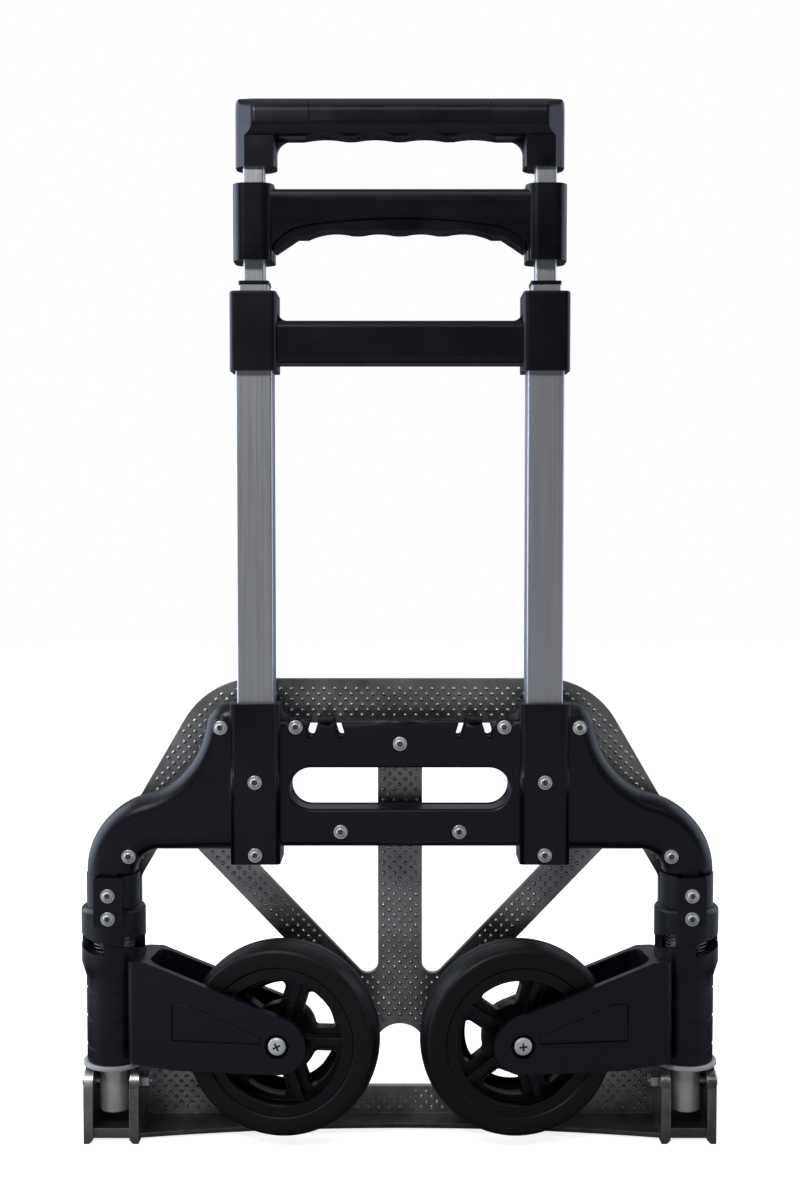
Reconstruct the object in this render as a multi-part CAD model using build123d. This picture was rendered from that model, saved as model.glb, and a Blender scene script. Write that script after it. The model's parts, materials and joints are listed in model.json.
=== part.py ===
# Folding hand truck, folded flat and standing on its hinge feet.
# Millimetres, +Z up, -Y is the rear where the wheels are, +Y is the load side.
# The model is laid out with the leg axes in the plane Y = 0 and the floor at Z = 0,
# then every piece is moved along Y so that the origin lies under the middle of the whole.
import os
from math import acos, atan2, cos, dist, hypot, radians, sin

from build123d import *

# Main places
LEG_X = 184.0            # leg axis, from the middle of the truck
STILE_X = 91.3           # telescopic tube axis, from the middle of the truck
PIN_Z = 36.0             # toe plate hinge axis above the floor
TOE_FOLD = 90.0          # degrees that the toe plate folds down
SWING = 83.0             # degrees that a wheel bracket swings out
LIFT = 5.5               # rise of a wheel bracket while it swings out

# Clearances
SLIDE_GAP = 0.2          # sliding plastic on tube, each side
RUN_GAP = 0.06           # pins and posts in their bores, radial
SEAT_GAP = 0.3           # pieces of different bodies that rest face to face
FIT_GAP = 0.1            # fixed pieces pushed together, each side
CUT = 1.0                # cutting shapes run this far past the faces they cut

# Legs and hinge
POST_R = 10.0
POST_WALL = 1.6
POST_BOTTOM = 18.0
POST_INSERT = 16.0       # length of the post inside the body shell
PIN_R = 3.0
BOLT_HEAD_R = 5.5
BOLT_HEAD_T = 3.1
NUT_FLATS = 10.0
NUT_T = 5.0
BOLT_PROUD = 1.5         # bolt end past its nut

# Toe plate
PLATE_GAP = 2.1          # load face of the folded plate, past the cam collars
PLATE_T = 4.5
PLATE_TOP = 293.6
PLATE_HALF_TOP = 94.0    # half width of the straight top edge
PLATE_CORNER_RUN = 47.0  # round corner from the top edge to the slanted side edge
PLATE_CORNER_FALL = 27.0
TOP_BAR = 29.0
RAIL_W = 27.0
RAIL_OUT = 13.0          # outer edge of the plate past the leg axis
RAIL_IN = 14.0           # inner edge of the upright rail, short of the leg axis
CENTRE_ARM = 29.0
DIAGONAL_ARM = 21.3
ARM_LEAN = 43.6          # lean of the diagonal arms, degrees
ARM_CROSS_Z = 57.5       # height where their middle lines cross
HUB_LOW = 72.0           # top corner of the lower legs
LOWER_ARM = 15.0
LOWER_LEG_X = 45.0       # inner foot of a lower leg
BOTTOM_BAR_Z = 23.0
GUSSET_X = 95.0          # inner foot of the corner gusset
GUSSET_RUN = 35.0
GUSSET_Z = 50.0
ARCH_R = 17.0
ARCH_TOP = 65.0
WINDOW_R = 7.0
FLANGE_Z = 1.8
FLANGE_T = 3.0
FLANGE_MID_Y = 4.5       # rear edge of the bottom flange at the middle
FLANGE_END_Y = -12.0     # and beside the hinge ears
EAR_GAP = 23.4
EAR_T = 5.8
EAR_TOP = 11.5           # ear height above the hinge axis under the folded washer
EAR_CAM_STEPS = 6
WEB_T = 6.4
WEB_Z = 2.3
WEB_REAR_Y = -13.0

# Lift washer
WASHER_R = 20.0
WASHER_T = 2.5

# Wheel bracket
ARM_REACH = 110.5        # leg axis to wheel axle
SLEEVE_R = 17.6
CUP_FLOOR = 112.0
CUP_TAPER_LOW = 105.5
CUP_TAPER_HIGH = 115.0
SPRING_POCKET_R = 15.6
FORK_HALF = 21.0
FORK_WALL = 4.6
FORK_END_R = 18.0
FORK_TOP = 119.0         # top of the fork beside its sleeve
FORK_LOW = 54.5          # underside of the fork beside its sleeve
FORK_START = 14.0
FORK_POCKET = 27.0       # where the wheel slot starts
FORK_BEND = 45.0         # where the underside runs level
FORK_EDGE_R = 5.0
FORK_SLOT_R = 8.0
RECESS_DEEP = 1.4        # panel sunk in the side of each arm
RECESS_START = 43.0
RECESS_RISE = 0.5
RECESS_TIP = 10.0
RECESS_TIP_H = 5.0
RECESS_DROP = 25.0
RECESS_R = 1.5
SLEEVE_RINGS = 3
RING_T = 3.0
RING_DEEP = 0.7
AXLE_R = 4.0
AXLE_HEAD_R = 5.6
AXLE_HEAD_T = 2.2
AXLE_RECESS_R = 7.8
AXLE_RECESS = 1.5
AXLE_NUT_FLATS = 13.0
AXLE_NUT_T = 5.0

# Helical cam between bracket and collar
CAM_TEETH = 3
CAM_GAP = 0.4
CAM_HIGH = 135.1         # roof of a collar tooth space
CAM_END = 299.0          # azimuth of the low end of a collar tooth
CAM_WALL_GAP = 1.0       # degrees between the tooth walls when swung out
CAM_CORE_R = 1.0

# Cam collar
COLLAR_R = 20.4          # also the cup that its teeth run on
COLLAR_SLEEVE_R = 16.9
COLLAR_STEP = 151.0
COLLAR_TOP = 171.7
COLLAR_EDGE_R = 3.0
COLLAR_PAD_W = 18.0
COLLAR_ROOF = 147.0
COLLAR_SCREW_Z = (160.6, 145.9)

# Lift spring
SPRING_WIRE = 1.4
SPRING_R = 12.6
SPRING_TURNS = 10
WIRE_SIDES = 6           # facets round a spring's wire

# Wheel
WHEEL_R = 62.0
WHEEL_Z = 69.0
TYRE_HALF = 15.0
TYRE_INNER_R = 47.0
TYRE_FLAT_R = 61.0
TYRE_SHOULDER_R = 3.5
TYRE_BEVEL = 1.0
RIM_HALF = 14.0
RIM_BARREL = 6.5
WHEEL_WEB_HALF = 3.0
SPOKES = 5
SPOKE_W = 15.0
SPOKE_RIB_W = 4.0
SPOKE_RIB_T = 5.0
SPOKE_TURN = 1.0
HUB_R = 22.5
HUB_NOSE_R = 12.0
BUSH_WALL = 2.5
SPOKE_WINDOW_R = 3.0
WINDOW_LEDGE = 4.0       # web left between the windows and the barrel
WINDOW_LIP_W = 1.4       # raised lip round each window
WINDOW_LIP_T = 1.2

# Body shell
LEG_END_Z = 172.0
LEG_R = 15.5
SHELL_HALF = 15.5
SHELL_TOP = 281.5
SHELL_LOW = 187.6
SHELL_EDGE_R = 11.0
SHOULDER_FLAT = 16.0     # flat top of a shoulder, past the stile axis
SHOULDER_DROP_X = 32.0   # where the shoulder's corner arc ends, past the stile axis
SHOULDER_DROP_Z = 14.0
SHOULDER_KNEE_X = 20.3   # inflection of the shoulder, short of the leg axis
SHOULDER_KNEE_Z = 221.2
LEG_CORNER_R = 17.0
SEAM_Y = 3.7             # joint between the rear and the front shell
BOSS_HALF_X = 15.8
BOSS_HALF_Y = 17.0
BOSS_LOW = 179.8
BOSS_EDGE_R = 3.0
PANEL_HALF_Y = 13.0
PANEL_TOP = 270.5
PANEL_LOW = 190.3
PANEL_EDGE_R = 4.0
PANEL_WEB = 10.0         # hollow corner between the panel's top and a stile boss
GRIP_SLOT_L = 138.8
GRIP_SLOT_H = 26.2
GRIP_SLOT_Z = 227.5
GRIP_SLOT_EDGE = 2.5
CLEAT_X = 47.0
CLEAT_SLOT_W = 4.8
CLEAT_SLOT_DEEP = 14.0
CLEAT_SLOT_STEP = 7.0
CLEAT_TILT = 17.0
CLEAT_TOOTH_H = 1.0
CLEAT_TOOTH_W = 9.6

# Screws
SCREW_HEAD_R = 4.8
SCREW_HEAD_T = 2.0
SCREW_R = 1.7
SCREW_SEAT_R = 5.2
SHELL_SCREW_L = 23.0     # rear shell into front shell
SCREW_COVER = 1.0        # left between a collar screw and the spring's pocket
SCREW_TOP_DROP = 15.0    # upper screws under the shell's top
SCREW_OUT_X = 21.7       # upper screws past the stile axis, outside
SCREW_IN_X = 25.5        # and inside
SCREW_CENTRE_DROP = 14.5
SCREW_MID_Z = 232.0
SCREW_LOW_RISE = 6.0
LOW_SCREW_X = 37.5
SCREW_LEG_IN = 12.6
SCREW_LEG_DROP = 3.0

# Telescopic tubes
STILE_SIDE = 23.0
STILE_WALL = 1.2
STILE_BOTTOM = 185.0
MID_SIDE = 18.5
MID_WALL = 1.1
MID_BOTTOM = 205.0
INNER_SIDE = 13.2
INNER_WALL = 1.0
UPPER_DROP = 9.0         # play under the pushed-in upper stage
FOOT_GAP = 5.0
TUBE_CORNER_R = 1.6
GUIDE_L = 15.0
SPIGOT_L = 12.0
CAP_T = 2.5
CAP_LIP = 0.3
BUSH_L = 26.0

# Crossbar
CROSS_HALF_X = 14.8
CROSS_HALF_Y = 15.5
CROSS_DROP = 4.4         # crossbar's top under the end of the middle tubes
CROSS_H = 49.4
CROSS_ROOF = 4.7         # over the ends of the stile tubes
CROSS_EDGE_R = 4.0
BAR_DROP = 17.7
BAR_H = 27.2
BAR_HALF_Y = 12.0
BAR_EDGE_R = 5.0
BAR_WEB = 6.0            # hollow corner between bar and socket
CROSS_TOP_R = 1.5

# Top handle
HANDLE_HALF = 102.8
HANDLE_TOP = 659.0
HANDLE_GRIP_H = 25.0
HANDLE_HALF_Y = 13.5
HANDLE_EDGE_R = 10.0
HANDLE_END_R = 9.0
HANDLE_SOCKET_H = 42.5
HANDLE_SOCKET_W = 25.8
HANDLE_WEB = 9.0         # hollow corner between grip and socket
HANDLE_CAP_H = 16.0      # end caps, above their seam
HANDLE_CAP_X = 56.5
HANDLE_SEAM = 0.3
FINGER_PITCH = 31.0
FINGER_DEEP = 2.9
FINGERS = 4
TUBE_COVER = 1.0         # handle left over the end of a tube, under the cap's seam

# Middle handle and its release trigger
GRIP_SOCKET_W = 25.6
GRIP_SOCKET_HALF_Y = 14.0
GRIP_SOCKET_H = 47.3
HANDLE_GAP = 11.0        # between the two handles' sockets
CAP_GAP = 12.1           # between the middle handle and the caps of the middle tubes
GRIP_SOCKET_R = 8.0
GRIP_BAR_DROP = 3.0
GRIP_BAR_H = 17.6
GRIP_BAR_HALF_Y = 12.0
GRIP_BAR_EDGE_R = 4.0
GRIP_ARCH_X = 60.0
GRIP_ARCH_FALL = 4.7
GRIP_END_FALL = 20.2
GRIP_WALL = 2.8
GRIP_ROOF_T = 6.8
TRIGGER_TRAVEL = 6.0
TRIGGER_PROUD = 9.5      # trigger under the crown of the arch
TRIGGER_FLAT_X = 54.0
TRIGGER_FLAT_FALL = 1.8
TRIGGER_END_FALL = 11.2
TRIGGER_RAMP = 10.0
TRIGGER_PITCH = 26.6
TRIGGER_DEEP = 2.2
TAB_T = 4.0
TAB_H = 6.0
TAB_RISE = 5.0
ROD_R = 2.0
ROD_GAP = 8.0            # rod end above the tube's foot
RETURN_SPRING_X = 30.0
RETURN_WIRE = 0.8
RETURN_R = 2.8
RETURN_TURNS = 5
RETURN_L = 14.5

# Values worked out from the sizes above
TOE_OUT = 90.0 - SWING                       # folded brackets stand this far off the truck's plane
CAM_SLOPE = LIFT / SWING                     # mm of rise per degree
CAM_STEP = 360.0 / CAM_TEETH * CAM_SLOPE     # height of a cam tooth
PLATE_SIDE_X = PLATE_HALF_TOP + PLATE_CORNER_RUN
PLATE_SIDE_Z = PLATE_TOP - PLATE_CORNER_FALL
EAR_HALF = EAR_GAP / 2 + EAR_T
EAR_REAR = EAR_TOP + LIFT                    # ear face under the washer of the opened plate
WASHER_Z = PIN_Z + EAR_TOP + SEAT_GAP
SLEEVE_Z = WASHER_Z + WASHER_T + SEAT_GAP
POST_TOP = LEG_END_Z + POST_INSERT
PLATE_Y = COLLAR_R + PLATE_GAP
COLLAR_SCREW_L = COLLAR_R - SPRING_POCKET_R - SCREW_COVER
HANDLE_LOW = HANDLE_TOP - HANDLE_GRIP_H
HANDLE_SOCKET_LOW = HANDLE_TOP - HANDLE_SOCKET_H
HANDLE_SEAM_Z = HANDLE_TOP - HANDLE_CAP_H
GRIP_SOCKET_TOP = HANDLE_SOCKET_LOW - HANDLE_GAP
GRIP_SOCKET_LOW = GRIP_SOCKET_TOP - GRIP_SOCKET_H
GRIP_BAR_TOP = GRIP_SOCKET_TOP - GRIP_BAR_DROP
GRIP_ROOF = GRIP_BAR_TOP - GRIP_ROOF_T
GRIP_ARCH_MID = GRIP_BAR_TOP - GRIP_BAR_H
GRIP_ARCH_SHOULDER = GRIP_ARCH_MID - GRIP_ARCH_FALL
GRIP_ARCH_END = GRIP_ARCH_MID - GRIP_END_FALL
TRIGGER_LOW = GRIP_ARCH_MID - TRIGGER_PROUD
TRIGGER_FLAT_Z = TRIGGER_LOW - TRIGGER_FLAT_FALL
TRIGGER_END_Z = TRIGGER_LOW - TRIGGER_END_FALL
TAB_Z = TRIGGER_END_Z + TAB_RISE
MID_TOP = GRIP_SOCKET_LOW - CAP_GAP - CAP_T
CROSS_TOP = MID_TOP - CROSS_DROP
CROSS_LOW = CROSS_TOP - CROSS_H
STILE_TOP = CROSS_TOP - CROSS_ROOF
BAR_TOP = CROSS_TOP - BAR_DROP
BAR_LOW = BAR_TOP - BAR_H
SPRING_LOW = CUP_FLOOR + SEAT_GAP
SPRING_HIGH = COLLAR_ROOF - SEAT_GAP
INNER_TOP = HANDLE_SEAM_Z - TUBE_COVER
INNER_BOTTOM = MID_BOTTOM + SPIGOT_L + GUIDE_L + UPPER_DROP + FOOT_GAP
TOOTH_TURN = 360.0 / CAM_TEETH
BUSH_R = AXLE_R + BUSH_WALL
TAB_SLOT = TAB_T / 2 + SEAT_GAP
BOSS_SCREW_L = BOSS_HALF_Y - STILE_SIDE / 2 + STILE_WALL - FIT_GAP


def block(x0, x1, y0, y1, z0, z1):
    centre = ((x0 + x1) / 2, (y0 + y1) / 2, (z0 + z1) / 2)
    return Pos(*centre) * Box(x1 - x0, y1 - y0, z1 - z0)


def round_rod(radius, z0, z1):
    return Pos(0, 0, (z0 + z1) / 2) * Cylinder(radius, z1 - z0)


def square_rod(side, z0, z1, corner=TUBE_CORNER_R):
    return Pos(0, 0, z0) * extrude(RectangleRounded(side, side, corner), z1 - z0)


def square_tube(side, wall, z0, z1):
    bore = square_rod(side - 2 * wall, z0 - CUT, z1 + CUT, TUBE_CORNER_R / 2)
    return square_rod(side, z0, z1) - bore


def along_x(shape):
    return Rot(0, 90, 0) * shape


def along_y(shape):
    return Rot(90, 0, 0) * shape


def hexagon(flats, z0, z1):
    return Pos(0, 0, z0) * extrude(RegularPolygon(flats / 2, 6, major_radius=False), z1 - z0)


def side_slab(outline, y0, y1):
    # Outline drawn in X and Z, as a solid from y0 to y1.
    face = Plane.XZ * make_face(outline)
    return Pos(0, y0, 0) * extrude(face, y0 - y1)


def rounded_block(x0, x1, y0, y1, z0, z1, axis, radius):
    solid = block(x0, x1, y0, y1, z0, z1)
    return fillet(solid.edges().filter_by(axis), radius)


def corner_web(x, z, radius, half_y, up):
    # Hollow corner between an upright face at x and a level face at z, open towards +X and up or down.
    reach = z + up * radius
    low, high = sorted((z - up * CUT, reach))
    web = block(x - CUT, x + radius, -half_y, half_y, low, high)
    return web - Pos(x + radius, 0, reach) * along_y(Cylinder(radius, 2 * half_y + CUT))


def crossing(point, way, other, other_way):
    # Where two lines meet in a plane, each given by a point and a direction.
    det = way[0] * other_way[1] - way[1] * other_way[0]
    step = ((other[0] - point[0]) * other_way[1] - (other[1] - point[1]) * other_way[0]) / det
    return (point[0] + step * way[0], point[1] + step * way[1])


def coil_gap(path, wire, turns):
    # Least gap between the wire of one turn and the next, measured on points.
    count = 24 * turns
    points = [path @ (step / count) for step in range(count + 1)]
    pairs = [(a, b) for i, a in enumerate(points) for b in points[i + 18 : i + 32]]
    return min((a - b).length for a, b in pairs) - wire


def coil_spring(radius, wire, z0, z1, turns):
    # Coil laid out in tilted half circles that run smoothly into each other, with a faceted wire.
    rise = (z1 - z0 - wire) / (2 * turns)
    bulge = hypot(radius, rise / 2)
    arcs = []
    for half in range(2 * turns):
        side = 1 if half % 2 == 0 else -1
        low = z0 + (wire + rise) / 2 + rise * half
        ends = (side * radius, 0, low - rise / 2), (-side * radius, 0, low + rise / 2)
        arcs.append(ThreePointArc(ends[0], (0, side * bulge, low), ends[1]).edge())
    path = Wire(arcs)
    print("coil of", turns, "turns, least gap", round(coil_gap(path, wire, turns), 2))
    section = Plane(origin=path @ 0, x_dir=(1, 0, 0), z_dir=path % 0) * RegularPolygon(wire / 2, WIRE_SIDES)
    return sweep(section, path=path)


def helix_ramp(start, z_low, depth, r_out):
    # One cam tooth's ramp, rising clockwise from its start azimuth, with depth above or below it.
    mid = (r_out + CAM_CORE_R) / 2
    path = Rot(0, 0, start) * Pos(0, 0, z_low) * Helix(360 * CAM_SLOPE, CAM_STEP, mid, lefthand=True)
    radial = Vector(cos(radians(start)), sin(radians(start)), 0)
    plane = Plane(origin=path @ 0, x_dir=radial, z_dir=Vector(radial.Y, -radial.X, 0))
    section = plane * Pos(0, depth / 2) * Rectangle(r_out - CAM_CORE_R, abs(depth))
    return sweep(section, path=path, is_frenet=True)


def at_leg(shape):
    return Pos(-LEG_X, 0, 0) * shape


def at_stile(shape):
    return Pos(-STILE_X, 0, 0) * shape


def in_bracket(shape):
    # From the bracket's own frame, with its arm along +X, to the folded left bracket.
    return at_leg(Rot(0, 0, -TOE_OUT) * shape)


def on_axle(shape):
    # From a frame with the axle along Z, its rear end up, to the wheel's place.
    return in_bracket(Pos(ARM_REACH, 0, WHEEL_Z) * along_y(shape))


def screw(x, y, z, length):
    # Pan head screw, its head standing on a face at y.
    head = round_rod(SCREW_HEAD_R, 0, SCREW_HEAD_T)
    head = fillet(head.edges().group_by(Axis.Z)[-1], SCREW_HEAD_T / 2)
    return Pos(x, y, z) * along_y(head + round_rod(SCREW_R, -length, 0))


def screw_hole(x, y, z, length):
    return Pos(x, y, z) * along_y(round_rod(SCREW_R + FIT_GAP, -length - FIT_GAP, CUT))


# Legs, cam collars and lift springs


def leg_post():
    tube = round_rod(POST_R, POST_BOTTOM, POST_TOP)
    tube -= round_rod(POST_R - POST_WALL, POST_BOTTOM - CUT, POST_TOP + CUT)
    hole = Pos(0, 0, PIN_Z) * along_x(Cylinder(PIN_R + RUN_GAP, 3 * POST_R))
    return at_leg(tube - hole)


def cam_collar():
    low = CAM_HIGH - CAM_STEP
    ring = round_rod(COLLAR_R, low, COLLAR_STEP)
    ring = fillet(ring.edges().group_by(Axis.Z)[-1], COLLAR_EDGE_R)
    sleeve = round_rod(COLLAR_SLEEVE_R, COLLAR_STEP - COLLAR_EDGE_R, COLLAR_TOP)
    pad_low = COLLAR_SCREW_Z[-1] - SCREW_HEAD_R
    pad = block(-COLLAR_PAD_W / 2, COLLAR_PAD_W / 2, -COLLAR_R, 0, pad_low, COLLAR_TOP)
    body = ring + sleeve + pad
    for tooth in range(CAM_TEETH):
        body -= helix_ramp(CAM_END + tooth * TOOTH_TURN, low, -2 * CAM_STEP, COLLAR_R + CUT)
    body -= round_rod(POST_R + FIT_GAP, low - CUT, COLLAR_TOP + CUT)
    body -= round_rod(SPRING_POCKET_R, low - CUT, COLLAR_ROOF)
    for z in COLLAR_SCREW_Z:
        body -= screw_hole(0, -COLLAR_R, z, COLLAR_SCREW_L)
    return at_leg(body)


def collar_screws():
    return [at_leg(screw(0, -COLLAR_R, z, COLLAR_SCREW_L)) for z in COLLAR_SCREW_Z]


def lift_spring():
    return at_leg(coil_spring(SPRING_R, SPRING_WIRE, SPRING_LOW, SPRING_HIGH, SPRING_TURNS))


def lift_washer():
    top = WASHER_Z + WASHER_T
    bore = round_rod(POST_R + SLIDE_GAP, WASHER_Z - CUT, top + CUT)
    return at_leg(round_rod(WASHER_R, WASHER_Z, top) - bore)


# Wheel brackets and wheels


def fork_outline():
    end = (ARM_REACH, WHEEL_Z)
    top = (FORK_POCKET, FORK_TOP)
    turn = atan2(top[1] - end[1], top[0] - end[0]) - acos(FORK_END_R / dist(top, end))
    touch = (end[0] + FORK_END_R * cos(turn), end[1] + FORK_END_R * sin(turn))
    low = WHEEL_Z - FORK_END_R
    outline = Polyline((FORK_START, FORK_TOP), top, touch)
    outline += ThreePointArc(touch, (end[0] + FORK_END_R, end[1]), (end[0], low))
    outline += Polyline((end[0], low), (FORK_BEND, low), (FORK_START, FORK_LOW), (FORK_START, FORK_TOP))
    return outline


def arm_recess(y0, y1):
    low = WHEEL_Z + RECESS_RISE
    points = [
        (RECESS_START, low),
        (ARM_REACH - RECESS_TIP, low),
        (ARM_REACH - RECESS_TIP, low + RECESS_TIP_H),
        (RECESS_START + RECESS_TIP, FORK_TOP - RECESS_DROP),
        (RECESS_START, FORK_TOP - RECESS_DROP),
    ]
    slab = side_slab(Polyline(*points, close=True), y0, y1)
    return fillet(slab.edges().filter_by(Axis.Y), RECESS_R)


def fork():
    solid = side_slab(fork_outline(), -FORK_HALF, FORK_HALF)
    solid = fillet(solid.edges().filter_by(Axis.Z), FORK_EDGE_R)
    reach = ARM_REACH + FORK_END_R + CUT
    half = FORK_HALF - FORK_WALL
    slot = block(FORK_POCKET, reach, -half, half, 0, FORK_TOP + CUT)
    solid -= fillet(slot.edges().filter_by(Axis.Z).group_by(Axis.X)[0], FORK_SLOT_R)
    solid -= arm_recess(-FORK_HALF - CUT, -FORK_HALF + RECESS_DEEP)
    solid -= arm_recess(FORK_HALF - RECESS_DEEP, FORK_HALF + CUT)
    return solid


def cam_cup():
    top = CAM_HIGH - (SWING + CAM_WALL_GAP) * CAM_SLOPE - CAM_GAP
    cup = round_rod(COLLAR_R, CUP_TAPER_HIGH, top)
    wall = CAM_END - TOOTH_TURN + SWING + CAM_WALL_GAP + TOE_OUT
    for tooth in range(CAM_TEETH):
        cup -= helix_ramp(wall + (tooth + 1) * TOOTH_TURN, top - CAM_STEP, 2 * CAM_STEP, COLLAR_R + CUT)
    return cup - round_rod(SPRING_POCKET_R, CUP_TAPER_HIGH - CUT, top + CUT)


def wheel_fork():
    sleeve = round_rod(SLEEVE_R, SLEEVE_Z, CUP_TAPER_LOW)
    for ring in range(SLEEVE_RINGS):
        z = SLEEVE_Z + (ring + 0.5) * (CUP_TAPER_LOW - SLEEVE_Z) / SLEEVE_RINGS
        sleeve -= round_rod(SLEEVE_R + CUT, z, z + RING_T) - round_rod(SLEEVE_R - RING_DEEP, z, z + RING_T)
    taper = Cone(SLEEVE_R, COLLAR_R, CUP_TAPER_HIGH - CUP_TAPER_LOW)
    taper = Pos(0, 0, (CUP_TAPER_LOW + CUP_TAPER_HIGH) / 2) * taper
    body = sleeve + taper + fork() + cam_cup()
    body -= round_rod(POST_R + RUN_GAP, SLEEVE_Z - CUT, CUP_FLOOR + CUT)
    body -= round_rod(SPRING_POCKET_R, CUP_FLOOR, CAM_HIGH)
    body = in_bracket(body)
    body -= on_axle(round_rod(AXLE_R + FIT_GAP, -2 * FORK_HALF, 2 * FORK_HALF))
    return body - on_axle(round_rod(AXLE_RECESS_R, FORK_HALF - AXLE_RECESS, 2 * FORK_HALF))


def axle_bolt():
    seat = FORK_HALF - AXLE_RECESS
    head = round_rod(AXLE_HEAD_R, seat, seat + AXLE_HEAD_T)
    head = fillet(head.edges().group_by(Axis.Z)[-1], AXLE_HEAD_T / 3)
    return on_axle(head + round_rod(AXLE_R, -FORK_HALF - AXLE_NUT_T - BOLT_PROUD, seat))


def axle_nut():
    nut = hexagon(AXLE_NUT_FLATS, -FORK_HALF - AXLE_NUT_T, -FORK_HALF)
    return on_axle(nut - round_rod(AXLE_R + FIT_GAP, -2 * FORK_HALF, 0))


def wheel_bush():
    half = FORK_HALF - FORK_WALL - SEAT_GAP
    return on_axle(round_rod(BUSH_R, -half, half) - round_rod(AXLE_R + RUN_GAP, -half - CUT, half + CUT))


def spoke_windows(first):
    ring = Circle(TYRE_INNER_R - RIM_BARREL - WINDOW_LEDGE) - Circle(HUB_R)
    for spoke in range(SPOKES):
        turn = first + spoke * 360 / SPOKES
        ring -= Rot(0, 0, turn) * Pos(TYRE_INNER_R / 2, 0) * Rectangle(TYRE_INNER_R, SPOKE_W)
    return fillet(ring.vertices(), SPOKE_WINDOW_R)


def wheel_rim(first):
    barrel = round_rod(TYRE_INNER_R - FIT_GAP, -RIM_HALF, RIM_HALF)
    barrel -= round_rod(TYRE_INNER_R - RIM_BARREL, -RIM_HALF - CUT, RIM_HALF + CUT)
    reach = TYRE_INNER_R - RIM_BARREL / 2
    web = round_rod(reach, -WHEEL_WEB_HALF, WHEEL_WEB_HALF)
    windows = spoke_windows(first)
    for window in windows.faces():
        web += extrude(offset(window, WINDOW_LIP_W), WHEEL_WEB_HALF + WINDOW_LIP_T, both=True)
    hub_half = FORK_HALF - FORK_WALL - 2 * SEAT_GAP
    body = barrel + web + round_rod(HUB_NOSE_R, -hub_half, hub_half)
    rib_half = WHEEL_WEB_HALF + SPOKE_RIB_T
    for spoke in range(SPOKES):
        turn = first + spoke * 360 / SPOKES
        rib = block(0, reach, -SPOKE_RIB_W / 2, SPOKE_RIB_W / 2, -rib_half, rib_half)
        body += Rot(0, 0, turn) * rib
    body -= extrude(windows, FORK_HALF, both=True)
    return on_axle(body - round_rod(BUSH_R + FIT_GAP, -FORK_HALF, FORK_HALF))


def tyre():
    bevel = TYRE_INNER_R + TYRE_BEVEL
    side = [(TYRE_INNER_R, RIM_HALF), (bevel, TYRE_HALF), (TYRE_FLAT_R, TYRE_HALF)]
    other = [(r, -y) for r, y in side]
    outline = Polyline(*reversed(side), *other)
    outline += ThreePointArc(other[-1], (WHEEL_R, 0), side[-1])
    section = make_face(outline)
    shoulders = [corner for corner in section.vertices() if abs(corner.X - TYRE_FLAT_R) < FIT_GAP]
    section = fillet(shoulders, TYRE_SHOULDER_R)
    return on_axle(revolve(Plane.XZ * section, Axis.Z))


# Toe plate


def plate_outline():
    rail = LEG_X + RAIL_OUT
    corner = TangentArc((-PLATE_HALF_TOP, PLATE_TOP), (-PLATE_SIDE_X, PLATE_SIDE_Z), tangent=(-1, 0))
    way = corner % 1
    leg = (-rail, PLATE_SIDE_Z + (rail - PLATE_SIDE_X) * way.Y / -way.X)
    outline = Line((0, PLATE_TOP), (-PLATE_HALF_TOP, PLATE_TOP)) + corner
    foot = (-rail, FLANGE_Z)
    outline += Polyline((-PLATE_SIDE_X, PLATE_SIDE_Z), leg, foot, (0, FLANGE_Z), (0, PLATE_TOP))
    return outline, (way.X, way.Y)


def plate_windows(way):
    # Upper, side and lower windows of the left half, cut between the plate's arms.
    side = (-PLATE_SIDE_X - RAIL_W * way[1], PLATE_SIDE_Z + RAIL_W * way[0])
    slant = (-sin(radians(ARM_LEAN)), cos(radians(ARM_LEAN)))
    out = DIAGONAL_ARM / 2
    right = (out * slant[1], ARM_CROSS_Z - out * slant[0])
    left = (-out * slant[1], ARM_CROSS_Z + out * slant[0])
    bar = PLATE_TOP - TOP_BAR
    arm = -CENTRE_ARM / 2
    level, upright = (1, 0), (0, 1)
    upper = [
        (arm, bar),
        crossing((0, bar), level, side, way),
        crossing(side, way, right, slant),
        crossing(right, slant, (arm, 0), upright),
    ]
    rail = (-LEG_X + RAIL_IN, 0)
    foot = LOWER_LEG_X + LOWER_ARM
    lower = [
        crossing(rail, upright, side, way),
        crossing(side, way, left, slant),
        crossing((0, HUB_LOW), level, left, slant),
        (-foot, BOTTOM_BAR_Z),
        (-GUSSET_X, BOTTOM_BAR_Z),
        (-GUSSET_X - GUSSET_RUN, GUSSET_Z),
        (rail[0], GUSSET_Z),
    ]
    cuts = []
    for points in (upper, lower):
        slab = side_slab(Polyline(*points, close=True), PLATE_Y - CUT, PLATE_Y + PLATE_T + CUT)
        cuts.append(fillet(slab.edges().filter_by(Axis.Y), WINDOW_R))
    return cuts


def arch_window():
    foot = (LOWER_LEG_X, BOTTOM_BAR_Z)
    spring = (ARCH_R, ARCH_TOP - ARCH_R)
    outline = ThreePointArc((-spring[0], spring[1]), (0, ARCH_TOP), spring)
    outline += Polyline(spring, foot, (-foot[0], foot[1]), (-spring[0], spring[1]))
    slab = side_slab(outline, PLATE_Y - CUT, PLATE_Y + PLATE_T + CUT)
    return fillet(slab.edges().filter_by(Axis.Y).group_by(Axis.Z)[0], WINDOW_R / 2)


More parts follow.
